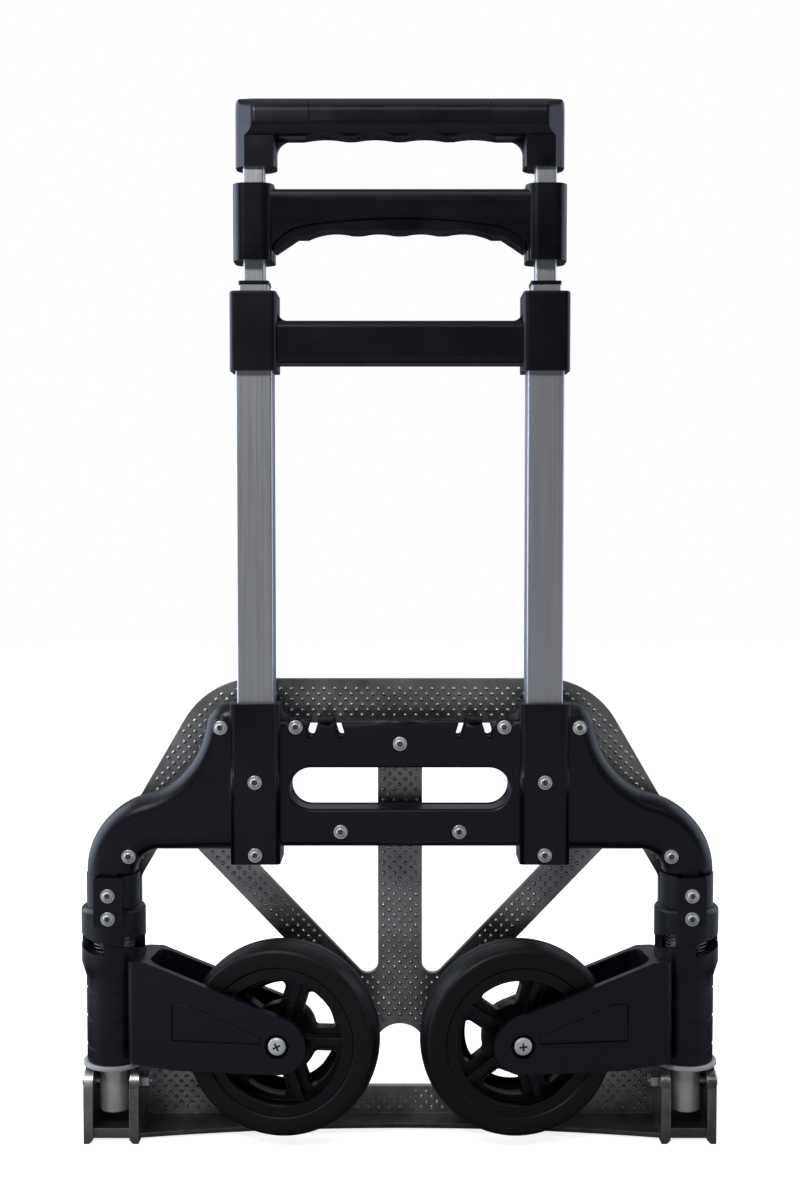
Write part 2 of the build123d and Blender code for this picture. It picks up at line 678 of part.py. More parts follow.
def ear_outline():
    # Rear and top faces of a hinge ear, joined by the cam that lifts the washer steadily.
    rate = LIFT / radians(TOE_FOLD)
    points = []
    for step in range(EAR_CAM_STEPS + 1):
        turn = radians(TOE_FOLD) * step / EAR_CAM_STEPS
        reach = EAR_TOP + rate * turn
        points.append(
            (-reach * sin(turn) - rate * cos(turn), PIN_Z + reach * cos(turn) - rate * sin(turn))
        )
    cam = Spline(*points, tangents=[(-1, 0), (0, -1)])
    front = PLATE_Y + PLATE_T
    rest = Polyline(points[-1], (-EAR_REAR, 0), (front, 0), (front, PIN_Z + EAR_TOP), points[0])
    return cam + rest


def hinge_ears():
    profile = Plane.YZ * make_face(ear_outline())
    inner = EAR_GAP / 2
    ear = Pos(inner, 0, 0) * extrude(profile, EAR_T)
    foot = ear.edges().filter_by(Axis.Y).group_by(Axis.Z)[0].sort_by(Axis.X)[0]
    ear = chamfer(foot, WEB_Z)
    pair = ear + mirror(ear, about=Plane.YZ)
    web = block(-inner, inner, WEB_REAR_Y, PLATE_Y + PLATE_T, WEB_Z, WEB_Z + WEB_T)
    back = block(-inner, inner, PLATE_Y, PLATE_Y + PLATE_T, WEB_Z, PIN_Z + EAR_TOP)
    hole = Pos(0, 0, PIN_Z) * along_x(Cylinder(PIN_R + FIT_GAP, 4 * EAR_HALF))
    return at_leg(pair + web + back - hole)


def bottom_flange():
    end = LEG_X - EAR_HALF + EAR_T / 2
    edge = ThreePointArc((-end, FLANGE_END_Y), (0, FLANGE_MID_Y), (end, FLANGE_END_Y))
    back = PLATE_Y + PLATE_T
    edge += Polyline((end, FLANGE_END_Y), (end, back), (-end, back), (-end, FLANGE_END_Y))
    return Pos(0, 0, FLANGE_Z) * extrude(make_face(edge), FLANGE_T)


def toe_plate():
    outline, way = plate_outline()
    half = side_slab(outline, PLATE_Y, PLATE_Y + PLATE_T)
    for cut in plate_windows(way):
        half -= cut
    half += hinge_ears()
    plate = half + mirror(half, about=Plane.YZ)
    return plate - arch_window() + bottom_flange()


def hinge_bolt():
    head = round_rod(BOLT_HEAD_R, -EAR_HALF - BOLT_HEAD_T, -EAR_HALF)
    head = fillet(head.edges().group_by(Axis.Z)[0], BOLT_HEAD_T / 2)
    bolt = head + round_rod(PIN_R, -EAR_HALF, EAR_HALF + NUT_T + BOLT_PROUD)
    return at_leg(Pos(0, 0, PIN_Z) * along_x(bolt))


def hinge_nut():
    nut = hexagon(NUT_FLATS, EAR_HALF, EAR_HALF + NUT_T)
    return at_leg(Pos(0, 0, PIN_Z) * along_x(nut - round_rod(PIN_R + FIT_GAP, 0, 2 * EAR_HALF)))


# Body shell


def shoulder():
    drop = (-STILE_X - SHOULDER_DROP_X, SHELL_TOP - SHOULDER_DROP_Z)
    flat = (-STILE_X - SHOULDER_FLAT, SHELL_TOP)
    knee = (-LEG_X + SHOULDER_KNEE_X, SHOULDER_KNEE_Z)
    corner = TangentArc(flat, drop, tangent=(-1, 0))
    sweep_in = TangentArc(drop, knee, tangent=corner % 1)
    sweep_out = TangentArc(knee, (-LEG_X - LEG_R, LEG_END_Z), tangent=sweep_in % 1)
    inside = (-LEG_X + LEG_R, LEG_END_Z)
    crook = (inside[0] + LEG_CORNER_R, SHELL_LOW)
    outline = Line((-STILE_X, SHELL_TOP), flat) + corner + sweep_in + sweep_out
    outline += Line((-LEG_X - LEG_R, LEG_END_Z), inside)
    outline += TangentArc(inside, crook, tangent=(0, 1))
    outline += Polyline(crook, (-STILE_X, SHELL_LOW), (-STILE_X, SHELL_TOP))
    slab = side_slab(outline, -SHELL_HALF, SHELL_HALF)
    rims = slab.faces().filter_by(Axis.Y).edges()
    rims = rims.filter_by(lambda e: e.center().Z > LEG_END_Z + CUT and e.center().X < -STILE_X - CUT)
    return fillet(rims, SHELL_EDGE_R)


def grip_slot():
    slot = Plane.XZ * SlotOverall(GRIP_SLOT_L, GRIP_SLOT_H)
    return Pos(0, 0, GRIP_SLOT_Z) * extrude(slot, 2 * PANEL_HALF_Y, both=True)


def centre_panel():
    half = STILE_X
    panel = block(-half, half, -PANEL_HALF_Y, PANEL_HALF_Y, PANEL_LOW, PANEL_TOP)
    panel = fillet(panel.edges().filter_by(Axis.X), PANEL_EDGE_R)
    panel -= grip_slot()
    walls = panel.faces().filter_by(Axis.Y)
    rims = [edge for wall in walls for wire in wall.inner_wires() for edge in wire.edges()]
    panel = fillet(rims, GRIP_SLOT_EDGE)
    for side in (-1, 1):
        for lean in (-1, 1):
            panel -= cleat_slot(side * CLEAT_X + lean * CLEAT_SLOT_STEP, lean)
        wide = CLEAT_TOOTH_W / 2
        tooth = block(-wide, wide, -PANEL_HALF_Y, PANEL_HALF_Y, 0, 2 * CLEAT_TOOTH_H)
        tooth = fillet(tooth.edges().group_by(Axis.Z)[-1].filter_by(Axis.Y), CLEAT_TOOTH_H / 2)
        panel += Pos(side * CLEAT_X, 0, PANEL_TOP - CLEAT_TOOTH_H) * tooth
    corner = corner_web(-half + BOSS_HALF_X, PANEL_TOP, PANEL_WEB, PANEL_HALF_Y - PANEL_EDGE_R, 1)
    return panel + corner + mirror(corner, about=Plane.YZ)


def cleat_slot(x, lean):
    half = CLEAT_SLOT_W / 2
    reach = 2 * PANEL_HALF_Y
    slot = block(-half, half, -reach, reach, half - CLEAT_SLOT_DEEP, 2 * CLEAT_SLOT_DEEP)
    slot = fillet(slot.edges().group_by(Axis.Z)[0].filter_by(Axis.Y), half - CUT / 10)
    return Pos(x, 0, PANEL_TOP) * Rot(0, -lean * CLEAT_TILT, 0) * slot


def stile_boss():
    x, y = BOSS_HALF_X, BOSS_HALF_Y
    return at_stile(rounded_block(-x, x, -y, y, BOSS_LOW, SHELL_TOP, Axis.Z, BOSS_EDGE_R))


def screw_places():
    # Rear face point and length of each shell screw, in pairs, then the middle one.
    upper = SHELL_TOP - SCREW_TOP_DROP
    half = [
        (STILE_X + SCREW_OUT_X, -SHELL_HALF, upper, SHELL_SCREW_L),
        (STILE_X - SCREW_IN_X, -PANEL_HALF_Y, upper, SHELL_SCREW_L),
        (LOW_SCREW_X, -PANEL_HALF_Y, PANEL_LOW + 2 * SCREW_HEAD_R, SHELL_SCREW_L),
        (LEG_X - SCREW_LEG_IN, -SHELL_HALF, SHELL_LOW - SCREW_LEG_DROP, SHELL_SCREW_L),
        (STILE_X, -BOSS_HALF_Y, SCREW_MID_Z, BOSS_SCREW_L),
        (STILE_X, -BOSS_HALF_Y, BOSS_LOW + SCREW_LOW_RISE, BOSS_SCREW_L),
    ]
    places = [(side * x, y, z, length) for x, y, z, length in half for side in (-1, 1)]
    return places + [(0, -PANEL_HALF_Y, PANEL_TOP - SCREW_CENTRE_DROP, SHELL_SCREW_L)]


def shell_halves():
    left = shoulder() + stile_boss()
    body = left + mirror(left, about=Plane.YZ) + centre_panel()
    for x, y, z, length in screw_places():
        body += Pos(x, y, z) * along_y(round_rod(SCREW_SEAT_R, y, 0))
    for side in (-1, 1):
        socket = square_rod(STILE_SIDE + 2 * FIT_GAP, STILE_BOTTOM, SHELL_TOP + CUT)
        body -= Pos(side * STILE_X, 0, 0) * socket
        body -= Pos(side * LEG_X, 0, 0) * round_rod(POST_R + FIT_GAP, LEG_END_Z - CUT, POST_TOP + FIT_GAP)
    for place in screw_places():
        body -= screw_hole(*place)
    reach = LEG_X + 2 * LEG_R
    front = block(-reach, reach, SEAM_Y, reach, 0, 2 * SHELL_TOP)
    return body - front, body & front


# Telescopic tubes and crossbar


def stile_tube():
    tube = at_stile(square_tube(STILE_SIDE, STILE_WALL, STILE_BOTTOM, STILE_TOP))
    for place in screw_places():
        if place[0] == -STILE_X:
            tube -= screw_hole(*place)
    return tube


def stile_bush():
    outer = STILE_SIDE - 2 * STILE_WALL - 2 * FIT_GAP
    bush = square_rod(outer, STILE_TOP - BUSH_L, STILE_TOP)
    return at_stile(bush - square_rod(MID_SIDE + 2 * SLIDE_GAP, STILE_TOP - BUSH_L - CUT, STILE_TOP + CUT))


def mid_tube():
    return at_stile(square_tube(MID_SIDE, MID_WALL, MID_BOTTOM, MID_TOP))


def guide_foot(bore, z, tube_bore):
    # Slide shoe under a tube, running in the bore of the tube outside it.
    shoe = square_rod(bore - 2 * SLIDE_GAP, z - GUIDE_L, z)
    shoe += square_rod(tube_bore - 2 * FIT_GAP, z - CUT, z + SPIGOT_L, TUBE_CORNER_R / 2)
    return at_stile(shoe)


def mid_foot():
    return guide_foot(STILE_SIDE - 2 * STILE_WALL, MID_BOTTOM, MID_SIDE - 2 * MID_WALL)


def mid_cap():
    bore = INNER_SIDE + 2 * SLIDE_GAP
    lip = square_rod(MID_SIDE + 2 * CAP_LIP, MID_TOP, MID_TOP + CAP_T)
    inside = MID_SIDE - 2 * MID_WALL - 2 * FIT_GAP
    skirt = square_rod(inside, MID_TOP - SPIGOT_L, MID_TOP + CUT, TUBE_CORNER_R / 2)
    return at_stile(lip + skirt - square_rod(bore, MID_TOP - SPIGOT_L - CUT, MID_TOP + CAP_T + CUT))


def inner_tube():
    tube = square_tube(INNER_SIDE, INNER_WALL, INNER_BOTTOM, INNER_TOP)
    slot = block(0, INNER_SIDE, -TAB_SLOT, TAB_SLOT, TAB_Z - CUT, TAB_Z + TAB_H + TRIGGER_TRAVEL + CUT)
    return at_stile(tube - slot)


def inner_foot():
    return guide_foot(MID_SIDE - 2 * MID_WALL, INNER_BOTTOM, INNER_SIDE - 2 * INNER_WALL)


def crossbar():
    x, y = CROSS_HALF_X, CROSS_HALF_Y
    socket = rounded_block(-x, x, -y, y, CROSS_LOW, CROSS_TOP, Axis.Z, CROSS_EDGE_R)
    socket = fillet(socket.edges().group_by(Axis.Z)[-1], CROSS_TOP_R)
    socket -= square_rod(STILE_SIDE + 2 * FIT_GAP, CROSS_LOW - CUT, STILE_TOP + FIT_GAP)
    socket -= square_rod(MID_SIDE + 2 * SLIDE_GAP, CROSS_LOW, CROSS_TOP + CUT)
    left = at_stile(socket)
    end = STILE_X - STILE_SIDE / 2 - FIT_GAP
    bar = rounded_block(-end, end, -BAR_HALF_Y, BAR_HALF_Y, BAR_LOW, BAR_TOP, Axis.X, BAR_EDGE_R)
    left += corner_web(-STILE_X + CROSS_HALF_X, BAR_TOP, BAR_WEB, BAR_HALF_Y - BAR_EDGE_R, 1)
    return left + mirror(left, about=Plane.YZ) + bar


# Handles


def finger_grooves(pitch, deep, base, half_y):
    # Shallow rollers laid across the underside of a grip.
    radius = ((pitch / 2) ** 2 + deep**2) / (2 * deep)
    rollers = []
    for finger in range(FINGERS):
        x = (finger - (FINGERS - 1) / 2) * pitch
        rollers.append(Pos(x, 0, base + deep - radius) * along_y(Cylinder(radius, 2 * half_y + CUT)))
    return rollers


def handle_solid():
    grip = block(-HANDLE_HALF, HANDLE_HALF, -HANDLE_HALF_Y, HANDLE_HALF_Y, HANDLE_LOW, HANDLE_TOP)
    grip = fillet(grip.edges().filter_by(Axis.X), HANDLE_EDGE_R)
    grip = fillet(grip.faces().filter_by(Axis.X).edges(), HANDLE_END_R)
    for roller in finger_grooves(FINGER_PITCH, FINGER_DEEP, HANDLE_LOW, HANDLE_HALF_Y):
        grip -= roller
    y = HANDLE_HALF_Y
    inside = HANDLE_SOCKET_W - HANDLE_HALF
    low, high = HANDLE_SOCKET_LOW, HANDLE_SEAM_Z
    left = rounded_block(-HANDLE_HALF, inside, -y, y, low, high, Axis.Z, HANDLE_EDGE_R)
    left += corner_web(inside, HANDLE_LOW, HANDLE_WEB, y - HANDLE_EDGE_R, -1)
    bore = at_stile(square_rod(INNER_SIDE + 2 * FIT_GAP, HANDLE_SOCKET_LOW - CUT, INNER_TOP))
    grip += left + mirror(left, about=Plane.YZ)
    return grip - bore - mirror(bore, about=Plane.YZ)


def handle_pieces():
    whole = handle_solid()
    reach = HANDLE_HALF + CUT
    half_y = HANDLE_HALF_Y + CUT
    end = block(-reach, -HANDLE_CAP_X, -half_y, half_y, HANDLE_SEAM_Z, HANDLE_TOP + CUT)
    gap = block(-reach, -HANDLE_CAP_X + HANDLE_SEAM, -half_y, half_y, HANDLE_SEAM_Z, HANDLE_TOP + CUT)
    cap = whole & end
    return whole - gap - mirror(gap, about=Plane.YZ), cap


def grip_bar():
    end = STILE_X - GRIP_SOCKET_W / 2 + GRIP_WALL
    left, right = (-GRIP_ARCH_X, GRIP_ARCH_SHOULDER), (GRIP_ARCH_X, GRIP_ARCH_SHOULDER)
    left_end, right_end = (-end, GRIP_ARCH_END), (end, GRIP_ARCH_END)
    arch = ThreePointArc(left, (0, GRIP_ARCH_MID), right)
    back = arch % 0
    outline = arch + TangentArc(right, right_end, tangent=arch % 1)
    outline += Polyline(right_end, (end, GRIP_BAR_TOP), (-end, GRIP_BAR_TOP), left_end)
    outline += TangentArc(left, left_end, tangent=(-back.X, -back.Y))
    bar = side_slab(outline, -GRIP_BAR_HALF_Y, GRIP_BAR_HALF_Y)
    return fillet(bar.edges().group_by(Axis.Z)[-1].filter_by(Axis.X), GRIP_BAR_EDGE_R)


def middle_handle():
    w, y = GRIP_SOCKET_W / 2, GRIP_SOCKET_HALF_Y
    socket = rounded_block(-w, w, -y, y, GRIP_SOCKET_LOW, GRIP_SOCKET_TOP, Axis.Z, GRIP_SOCKET_R)
    left = at_stile(socket)
    body = left + mirror(left, about=Plane.YZ) + grip_bar()
    inner = STILE_X - GRIP_SOCKET_W / 2
    half = GRIP_BAR_HALF_Y - GRIP_WALL
    body -= block(-inner, inner, -half, half, GRIP_SOCKET_LOW - CUT, GRIP_ROOF)
    tab_top = TAB_Z + TAB_H + TRIGGER_TRAVEL + CUT
    body -= block(-STILE_X, STILE_X, -TAB_SLOT, TAB_SLOT, TAB_Z - CUT, tab_top)
    for side in (-1, 1):
        bore = square_rod(INNER_SIDE + 2 * FIT_GAP, GRIP_SOCKET_LOW - CUT, GRIP_SOCKET_TOP + CUT)
        body -= Pos(side * STILE_X, 0, 0) * bore
    return body


def release_trigger():
    end = STILE_X - GRIP_SOCKET_W / 2 - SEAT_GAP
    flat = TRIGGER_FLAT_X
    top = GRIP_ROOF - TRIGGER_TRAVEL - SEAT_GAP
    points = [
        (-end, TRIGGER_END_Z),
        (-flat - TRIGGER_RAMP, TRIGGER_FLAT_Z),
        (-flat, TRIGGER_FLAT_Z),
        (-flat + TRIGGER_DEEP, TRIGGER_LOW),
    ]
    points += [(-x, z) for x, z in reversed(points)] + [(end, top), (-end, top)]
    half = GRIP_BAR_HALF_Y - GRIP_WALL - SEAT_GAP
    body = side_slab(Polyline(*points, close=True), -half, half)
    for roller in finger_grooves(TRIGGER_PITCH, TRIGGER_DEEP, TRIGGER_LOW, half):
        body -= roller
    for side in (-1, 1):
        pocket = round_rod(RETURN_R + RETURN_WIRE, GRIP_ROOF - RETURN_L, GRIP_ROOF)
        body -= Pos(side * RETURN_SPRING_X, 0, 0) * pocket
        x0, x1 = sorted((side * (end - CUT), side * (STILE_X + ROD_R)))
        body += block(x0, x1, -TAB_T / 2, TAB_T / 2, TAB_Z, TAB_Z + TAB_H)
    return body


def release_rod():
    return at_stile(round_rod(ROD_R, INNER_BOTTOM + SPIGOT_L + ROD_GAP, TAB_Z))


def return_spring():
    top = GRIP_ROOF - FIT_GAP
    low = GRIP_ROOF - RETURN_L + FIT_GAP
    return Pos(-RETURN_SPRING_X, 0, 0) * coil_spring(RETURN_R, RETURN_WIRE, low, top, RETURN_TURNS)


def build_parts():
    parts = {}
    parts["rear_shell"], parts["front_shell"] = shell_halves()
    parts["shell_screws"] = [screw(*place) for place in screw_places()]
    left_screws = collar_screws()
    parts["collar_screws"] = left_screws + [mirror(piece, about=Plane.YZ) for piece in left_screws]
    parts["crossbar"] = crossbar()
    parts["top_handle"], cap = handle_pieces()
    parts["middle_handle"] = middle_handle()
    parts["release_trigger"] = release_trigger()
    parts["toe_plate"] = toe_plate()
    pairs = {
        "stile_tube": stile_tube(),
        "stile_bush": stile_bush(),
        "leg_post": leg_post(),
        "cam_collar": cam_collar(),
        "lift_spring": lift_spring(),
        "lift_washer": lift_washer(),
        "wheel_fork": wheel_fork(),
        "axle_bolt": axle_bolt(),
        "axle_nut": axle_nut(),
        "tyre": tyre(),
        "wheel_rim": wheel_rim(SPOKE_TURN),
        "wheel_bush": wheel_bush(),
        "hinge_bolt": hinge_bolt(),
        "hinge_nut": hinge_nut(),
        "mid_tube": mid_tube(),
        "mid_cap": mid_cap(),
        "mid_foot": mid_foot(),
        "inner_tube": inner_tube(),
        "inner_foot": inner_foot(),
        "handle_cap": cap,
        "release_rod": release_rod(),
        "return_spring": return_spring(),
    }
    for name, left in pairs.items():
        parts["left_" + name] = left
        parts["right_" + name] = mirror(left, about=Plane.YZ)
    # The right wheel is the same wheel turned about, so its spokes lean the other way.
    parts["right_wheel_rim"] = mirror(wheel_rim(180 - SPOKE_TURN), about=Plane.YZ)
    return parts


def as_compound(piece):
    return Compound(children=piece) if isinstance(piece, list) else piece


os.makedirs("parts", exist_ok=True)
pieces = {name: as_compound(piece) for name, piece in build_parts().items()}
low_y = min(piece.bounding_box().min.Y for piece in pieces.values())
high_y = max(piece.bounding_box().max.Y for piece in pieces.values())
origin_shift = round(-(low_y + high_y) / 2, 2)
print("legs stand at Y =", origin_shift)
for name, piece in pieces.items():
    export_step(Pos(0, origin_shift, 0) * piece, f"parts/{name}.step")
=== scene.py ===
import json
import math

import bmesh
import bpy
from mathutils import Matrix, Vector
from mathutils.bvhtree import BVHTree


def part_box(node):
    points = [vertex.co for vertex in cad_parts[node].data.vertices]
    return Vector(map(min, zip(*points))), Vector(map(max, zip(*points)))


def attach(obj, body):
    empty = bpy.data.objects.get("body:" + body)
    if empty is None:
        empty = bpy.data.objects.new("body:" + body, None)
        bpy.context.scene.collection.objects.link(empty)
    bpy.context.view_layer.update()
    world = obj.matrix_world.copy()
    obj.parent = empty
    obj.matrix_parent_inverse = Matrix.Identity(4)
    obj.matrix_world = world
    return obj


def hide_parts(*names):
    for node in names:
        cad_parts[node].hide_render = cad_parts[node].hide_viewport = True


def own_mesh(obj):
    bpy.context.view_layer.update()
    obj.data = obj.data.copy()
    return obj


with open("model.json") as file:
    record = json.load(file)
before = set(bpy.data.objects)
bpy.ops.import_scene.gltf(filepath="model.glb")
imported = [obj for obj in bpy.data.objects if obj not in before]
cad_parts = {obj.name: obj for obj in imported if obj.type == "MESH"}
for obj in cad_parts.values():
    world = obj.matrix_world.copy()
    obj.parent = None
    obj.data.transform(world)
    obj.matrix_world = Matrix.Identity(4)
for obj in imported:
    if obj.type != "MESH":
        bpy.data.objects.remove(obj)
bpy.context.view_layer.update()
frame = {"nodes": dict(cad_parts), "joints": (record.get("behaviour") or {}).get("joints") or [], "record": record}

mm = 0.001
scene = bpy.context.scene
nodes = frame["nodes"]
joints = {joint["name"]: joint for joint in frame["joints"]}
mounts = {mount["name"]: mount for mount in frame["record"]["mounts"]}
sides = ("left", "right")


# node helpers

def feed(tree, value, socket):
    # links another node's output, or sets a plain value
    if hasattr(value, "is_output"):
        tree.links.new(value, socket)
    else:
        socket.default_value = value


def addNode(tree, kind, links=None, **values):
    node = tree.nodes.new(kind)
    for key, value in values.items():
        setattr(node, key, value)
    for socket, value in (links or {}).items():
        feed(tree, value, node.inputs[socket])
    return node


def newGroup(name, settings, results):
    # takes a vector and one number per setting
    tree = bpy.data.node_groups.new(name, "ShaderNodeTree")
    tree.interface.new_socket(name="Vector", in_out="INPUT", socket_type="NodeSocketVector")
    for label in settings:
        tree.interface.new_socket(name=label, in_out="INPUT", socket_type="NodeSocketFloat")
    for label in results:
        tree.interface.new_socket(name=label, in_out="OUTPUT", socket_type="NodeSocketFloat")
    return tree, addNode(tree, "NodeGroupInput"), addNode(tree, "NodeGroupOutput")


def calc(tree, operation, a, b=None, clamp=False):
    links = {0: a}
    if b is not None:
        links[1] = b
    return addNode(tree, "ShaderNodeMath", links, operation=operation, use_clamp=clamp).outputs[0]


def spread(tree, value, low, high, outLow=0.0, outHigh=1.0):
    links = {"Value": value, "From Min": low, "From Max": high, "To Min": outLow, "To Max": outHigh}
    return addNode(tree, "ShaderNodeMapRange", links).outputs["Result"]


def noise(tree, vector, scale, detail, rough=0.5):
    links = {"Vector": vector, "Scale": scale, "Detail": detail, "Roughness": rough}
    return addNode(tree, "ShaderNodeTexNoise", links).outputs[0]


def mixColour(tree, factor, a, b):
    # a colour mix has its colours at inputs 6 and 7 and at output 2
    return addNode(tree, "ShaderNodeMix", data_type="RGBA", links={0: factor, 6: a, 7: b}).outputs[2]


def grey(value, tint=(1.0, 1.0, 1.0)):
    return tuple(value * part for part in tint) + (1.0,)


# shared effects

mouldSkin = {
    "grainDetail": 2.0, "grainRough": 0.6, "cloudDetail": 4.0, "cloudRough": 0.55, "tone": (0.35, 0.68),
}
edgeWearAndSheen = {"samples": 6, "turned": (0.995, 0.86), "detail": 4.0, "patch": (0.38, 0.6), "least": 0.35}
drawLines = {
    "fineDetail": 3.0, "fineRough": 0.7, "wideShare": 0.18, "wideDetail": 2.0, "streak": (0.75, 1.25),
}
castSkin = {
    "pebbleDetail": 4.0, "pebbleRough": 0.6, "stainDetail": 5.0, "stainRough": 0.62, "stain": (0.36, 0.66),
}


def makeMouldSkin(look):
    # fine sparked texture of the mould and a slow change of tone
    tree, put, get = newGroup("mouldSkin", ("Grain", "Cloud"), ("Height", "Tone"))
    vector = put.outputs["Vector"]
    grain = noise(tree, vector, put.outputs["Grain"], look["grainDetail"], look["grainRough"])
    cloud = noise(tree, vector, put.outputs["Cloud"], look["cloudDetail"], look["cloudRough"])
    tree.links.new(grain, get.inputs["Height"])
    tree.links.new(spread(tree, cloud, *look["tone"]), get.inputs["Tone"])
    return tree


def makeEdgeWearAndSheen(look):
    # high where the surface turns sharply, broken up by a noise: the mask for rubbed edges and for a painted edge
    # highlight
    tree, put, get = newGroup("edgeWearAndSheen", ("Radius", "Break"), ("Edge",))
    bent = addNode(tree, "ShaderNodeBevel", {"Radius": put.outputs["Radius"]}, samples=look["samples"])
    flat = addNode(tree, "ShaderNodeNewGeometry")
    normals = {0: bent.outputs["Normal"], 1: flat.outputs["Normal"]}
    dot = addNode(tree, "ShaderNodeVectorMath", normals, operation="DOT_PRODUCT")
    turn = spread(tree, dot.outputs["Value"], *look["turned"])
    patches = noise(tree, put.outputs["Vector"], put.outputs["Break"], look["detail"])
    broken = spread(tree, patches, *look["patch"], look["least"], 1.0)
    tree.links.new(calc(tree, "MULTIPLY", turn, broken, clamp=True), get.inputs["Edge"])
    return tree


def makeDrawLines(look):
    # lengthwise marks of a drawn tube: the vector is stretched along the tube
    tree, put, get = newGroup("drawLines", ("Fine", "Stretch"), ("Height", "Streak"))
    parts = addNode(tree, "ShaderNodeSeparateXYZ", {0: put.outputs["Vector"]}).outputs
    along = calc(tree, "MULTIPLY", parts["Z"], put.outputs["Stretch"])
    vector = addNode(tree, "ShaderNodeCombineXYZ", {"X": parts["X"], "Y": parts["Y"], "Z": along}).outputs[0]
    fine = noise(tree, vector, put.outputs["Fine"], look["fineDetail"], look["fineRough"])
    coarse = calc(tree, "MULTIPLY", put.outputs["Fine"], look["wideShare"])
    wide = noise(tree, vector, coarse, look["wideDetail"])
    tree.links.new(fine, get.inputs["Height"])
    tree.links.new(spread(tree, calc(tree, "ADD", fine, wide), *look["streak"]), get.inputs["Streak"])
    return tree


def makeCastSkin(look):
    # pebbled casting skin with darker stains
    tree, put, get = newGroup("castSkin", ("Pebble", "Stain"), ("Height", "Stain"))
    vector = put.outputs["Vector"]
    pebble = noise(tree, vector, put.outputs["Pebble"], look["pebbleDetail"], look["pebbleRough"])
    stain = noise(tree, vector, put.outputs["Stain"], look["stainDetail"], look["stainRough"])
    tree.links.new(pebble, get.inputs["Height"])
    tree.links.new(spread(tree, stain, *look["stain"]), get.inputs["Stain"])
    return tree


groups = {
    "mouldSkin": makeMouldSkin(mouldSkin),
    "edgeWearAndSheen": makeEdgeWearAndSheen(edgeWearAndSheen),
    "drawLines": makeDrawLines(drawLines),
    "castSkin": makeCastSkin(castSkin),
}
print("effects made:", ", ".join(groups))


# finishes

def startFinish(name):
    finish = bpy.data.materials.new(name)
    finish.use_nodes = True
    tree = finish.node_tree
    tree.nodes.clear()
    shader = addNode(tree, "ShaderNodeBsdfPrincipled")
    out = addNode(tree, "ShaderNodeOutputMaterial")
    tree.links.new(shader.outputs[0], out.inputs["Surface"])
    place = addNode(tree, "ShaderNodeTexCoord").outputs["Object"]
    return finish, tree, shader, place


def useGroup(tree, name, place, **values):
    node = tree.nodes.new("ShaderNodeGroup")
    node.node_tree = groups[name]
    tree.links.new(place, node.inputs["Vector"])
    for key, value in values.items():
        node.inputs[key].default_value = value
    return node


def dressShader(tree, shader, place, look, skin, tone):
    # tone sets colour and roughness; the edges take their own colour, partly rubbed wear and partly a painted
    # highlight
    wearSheen = useGroup(tree, "edgeWearAndSheen", place, Radius=look["edgeRadius"], Break=look["edgeBreak"])
    wornAndLitEdge = calc(tree, "MULTIPLY", wearSheen.outputs["Edge"], look["edgeAmount"])
    base = mixColour(tree, tone, look["dark"], look["light"])
    tree.links.new(mixColour(tree, wornAndLitEdge, base, look["edge"]), shader.inputs["Base Color"])
    tree.links.new(spread(tree, tone, 0.0, 1.0, *look["rough"]), shader.inputs["Roughness"])
    links = {"Strength": look["bump"], "Distance": look["bumpDepth"], "Height": skin.outputs["Height"]}
    bump = addNode(tree, "ShaderNodeBump", links)
    tree.links.new(bump.outputs["Normal"], shader.inputs["Normal"])


def plasticFinish(name, look):
    finish, tree, shader, place = startFinish(name)
    skin = useGroup(tree, "mouldSkin", place, Grain=look["grain"], Cloud=look["cloud"])
    dressShader(tree, shader, place, look, skin, skin.outputs["Tone"])
    shader.inputs["Specular IOR Level"].default_value = look["specular"]
    shader.inputs["Specular Tint"].default_value = look["gloss"]
    return finish


def metalFinish(name, look):
    finish, tree, shader, place = startFinish(name)
    if "stretch" in look:
        skin = useGroup(tree, "drawLines", place, Fine=look["fine"], Stretch=look["stretch"])
        tone = skin.outputs["Streak"]
    else:
        skin = useGroup(tree, "castSkin", place, Pebble=look["fine"], Stain=look["stain"])
        tone = skin.outputs["Stain"]
    dressShader(tree, shader, place, look, skin, tone)
    shader.inputs["Metallic"].default_value = look["metal"]
    return finish


blueBlack = (1.0, 0.92, 2.0)
tubeTint = (0.98, 0.99, 1.05)
castTint = (1.0, 0.985, 0.97)
zincTint = (1.0, 1.0, 0.98)
postTint = (1.0, 0.985, 0.94)
nylonTint = (1.0, 0.99, 0.96)

# the edge colour of the plastics is lighter and bluish: partly rubbed wear, partly a painted highlight along the
# edges
blackPlastic = {
    "dark": grey(0.003, blueBlack), "light": grey(0.005, blueBlack), "gloss": grey(1.0, (0.94, 0.91, 1.0)),
    "edge": grey(0.05, (0.85, 0.92, 1.2)), "edgeAmount": 0.3, "edgeRadius": 0.9 * mm, "edgeBreak": 160.0,
    "grain": 2600.0, "cloud": 22.0, "rough": (0.3, 0.4), "specular": 0.4,
    "bump": 0.14, "bumpDepth": 0.05 * mm,
}
gripPlastic = dict(blackPlastic, rough=(0.24, 0.34), specular=0.45, cloud=30.0)
rimPlastic = dict(
    blackPlastic, dark=grey(0.0026), light=grey(0.0044), edgeAmount=0.55, specular=0.34, rough=(0.3, 0.38),
)
tyreRubber = dict(
    blackPlastic, dark=grey(0.004), light=grey(0.0066), gloss=grey(1.0, (1.0, 0.97, 0.98)), edgeAmount=0.15,
    rough=(0.38, 0.48), specular=0.3, grain=1800.0, bump=0.2,
)
nylonWhite = dict(
    blackPlastic, dark=grey(0.5, nylonTint), light=grey(0.64, nylonTint), edge=grey(0.8), gloss=grey(1.0),
    specular=0.45, rough=(0.38, 0.5),
)
# dull black finish of the ring under each axle bolt: painted shade of the fork's recess round the head
seatShadeBlack = dict(
    blackPlastic, dark=grey(0.0012), light=grey(0.002), edgeAmount=0.0, specular=0.08, rough=(0.6, 0.7),
    bump=0.2,
)
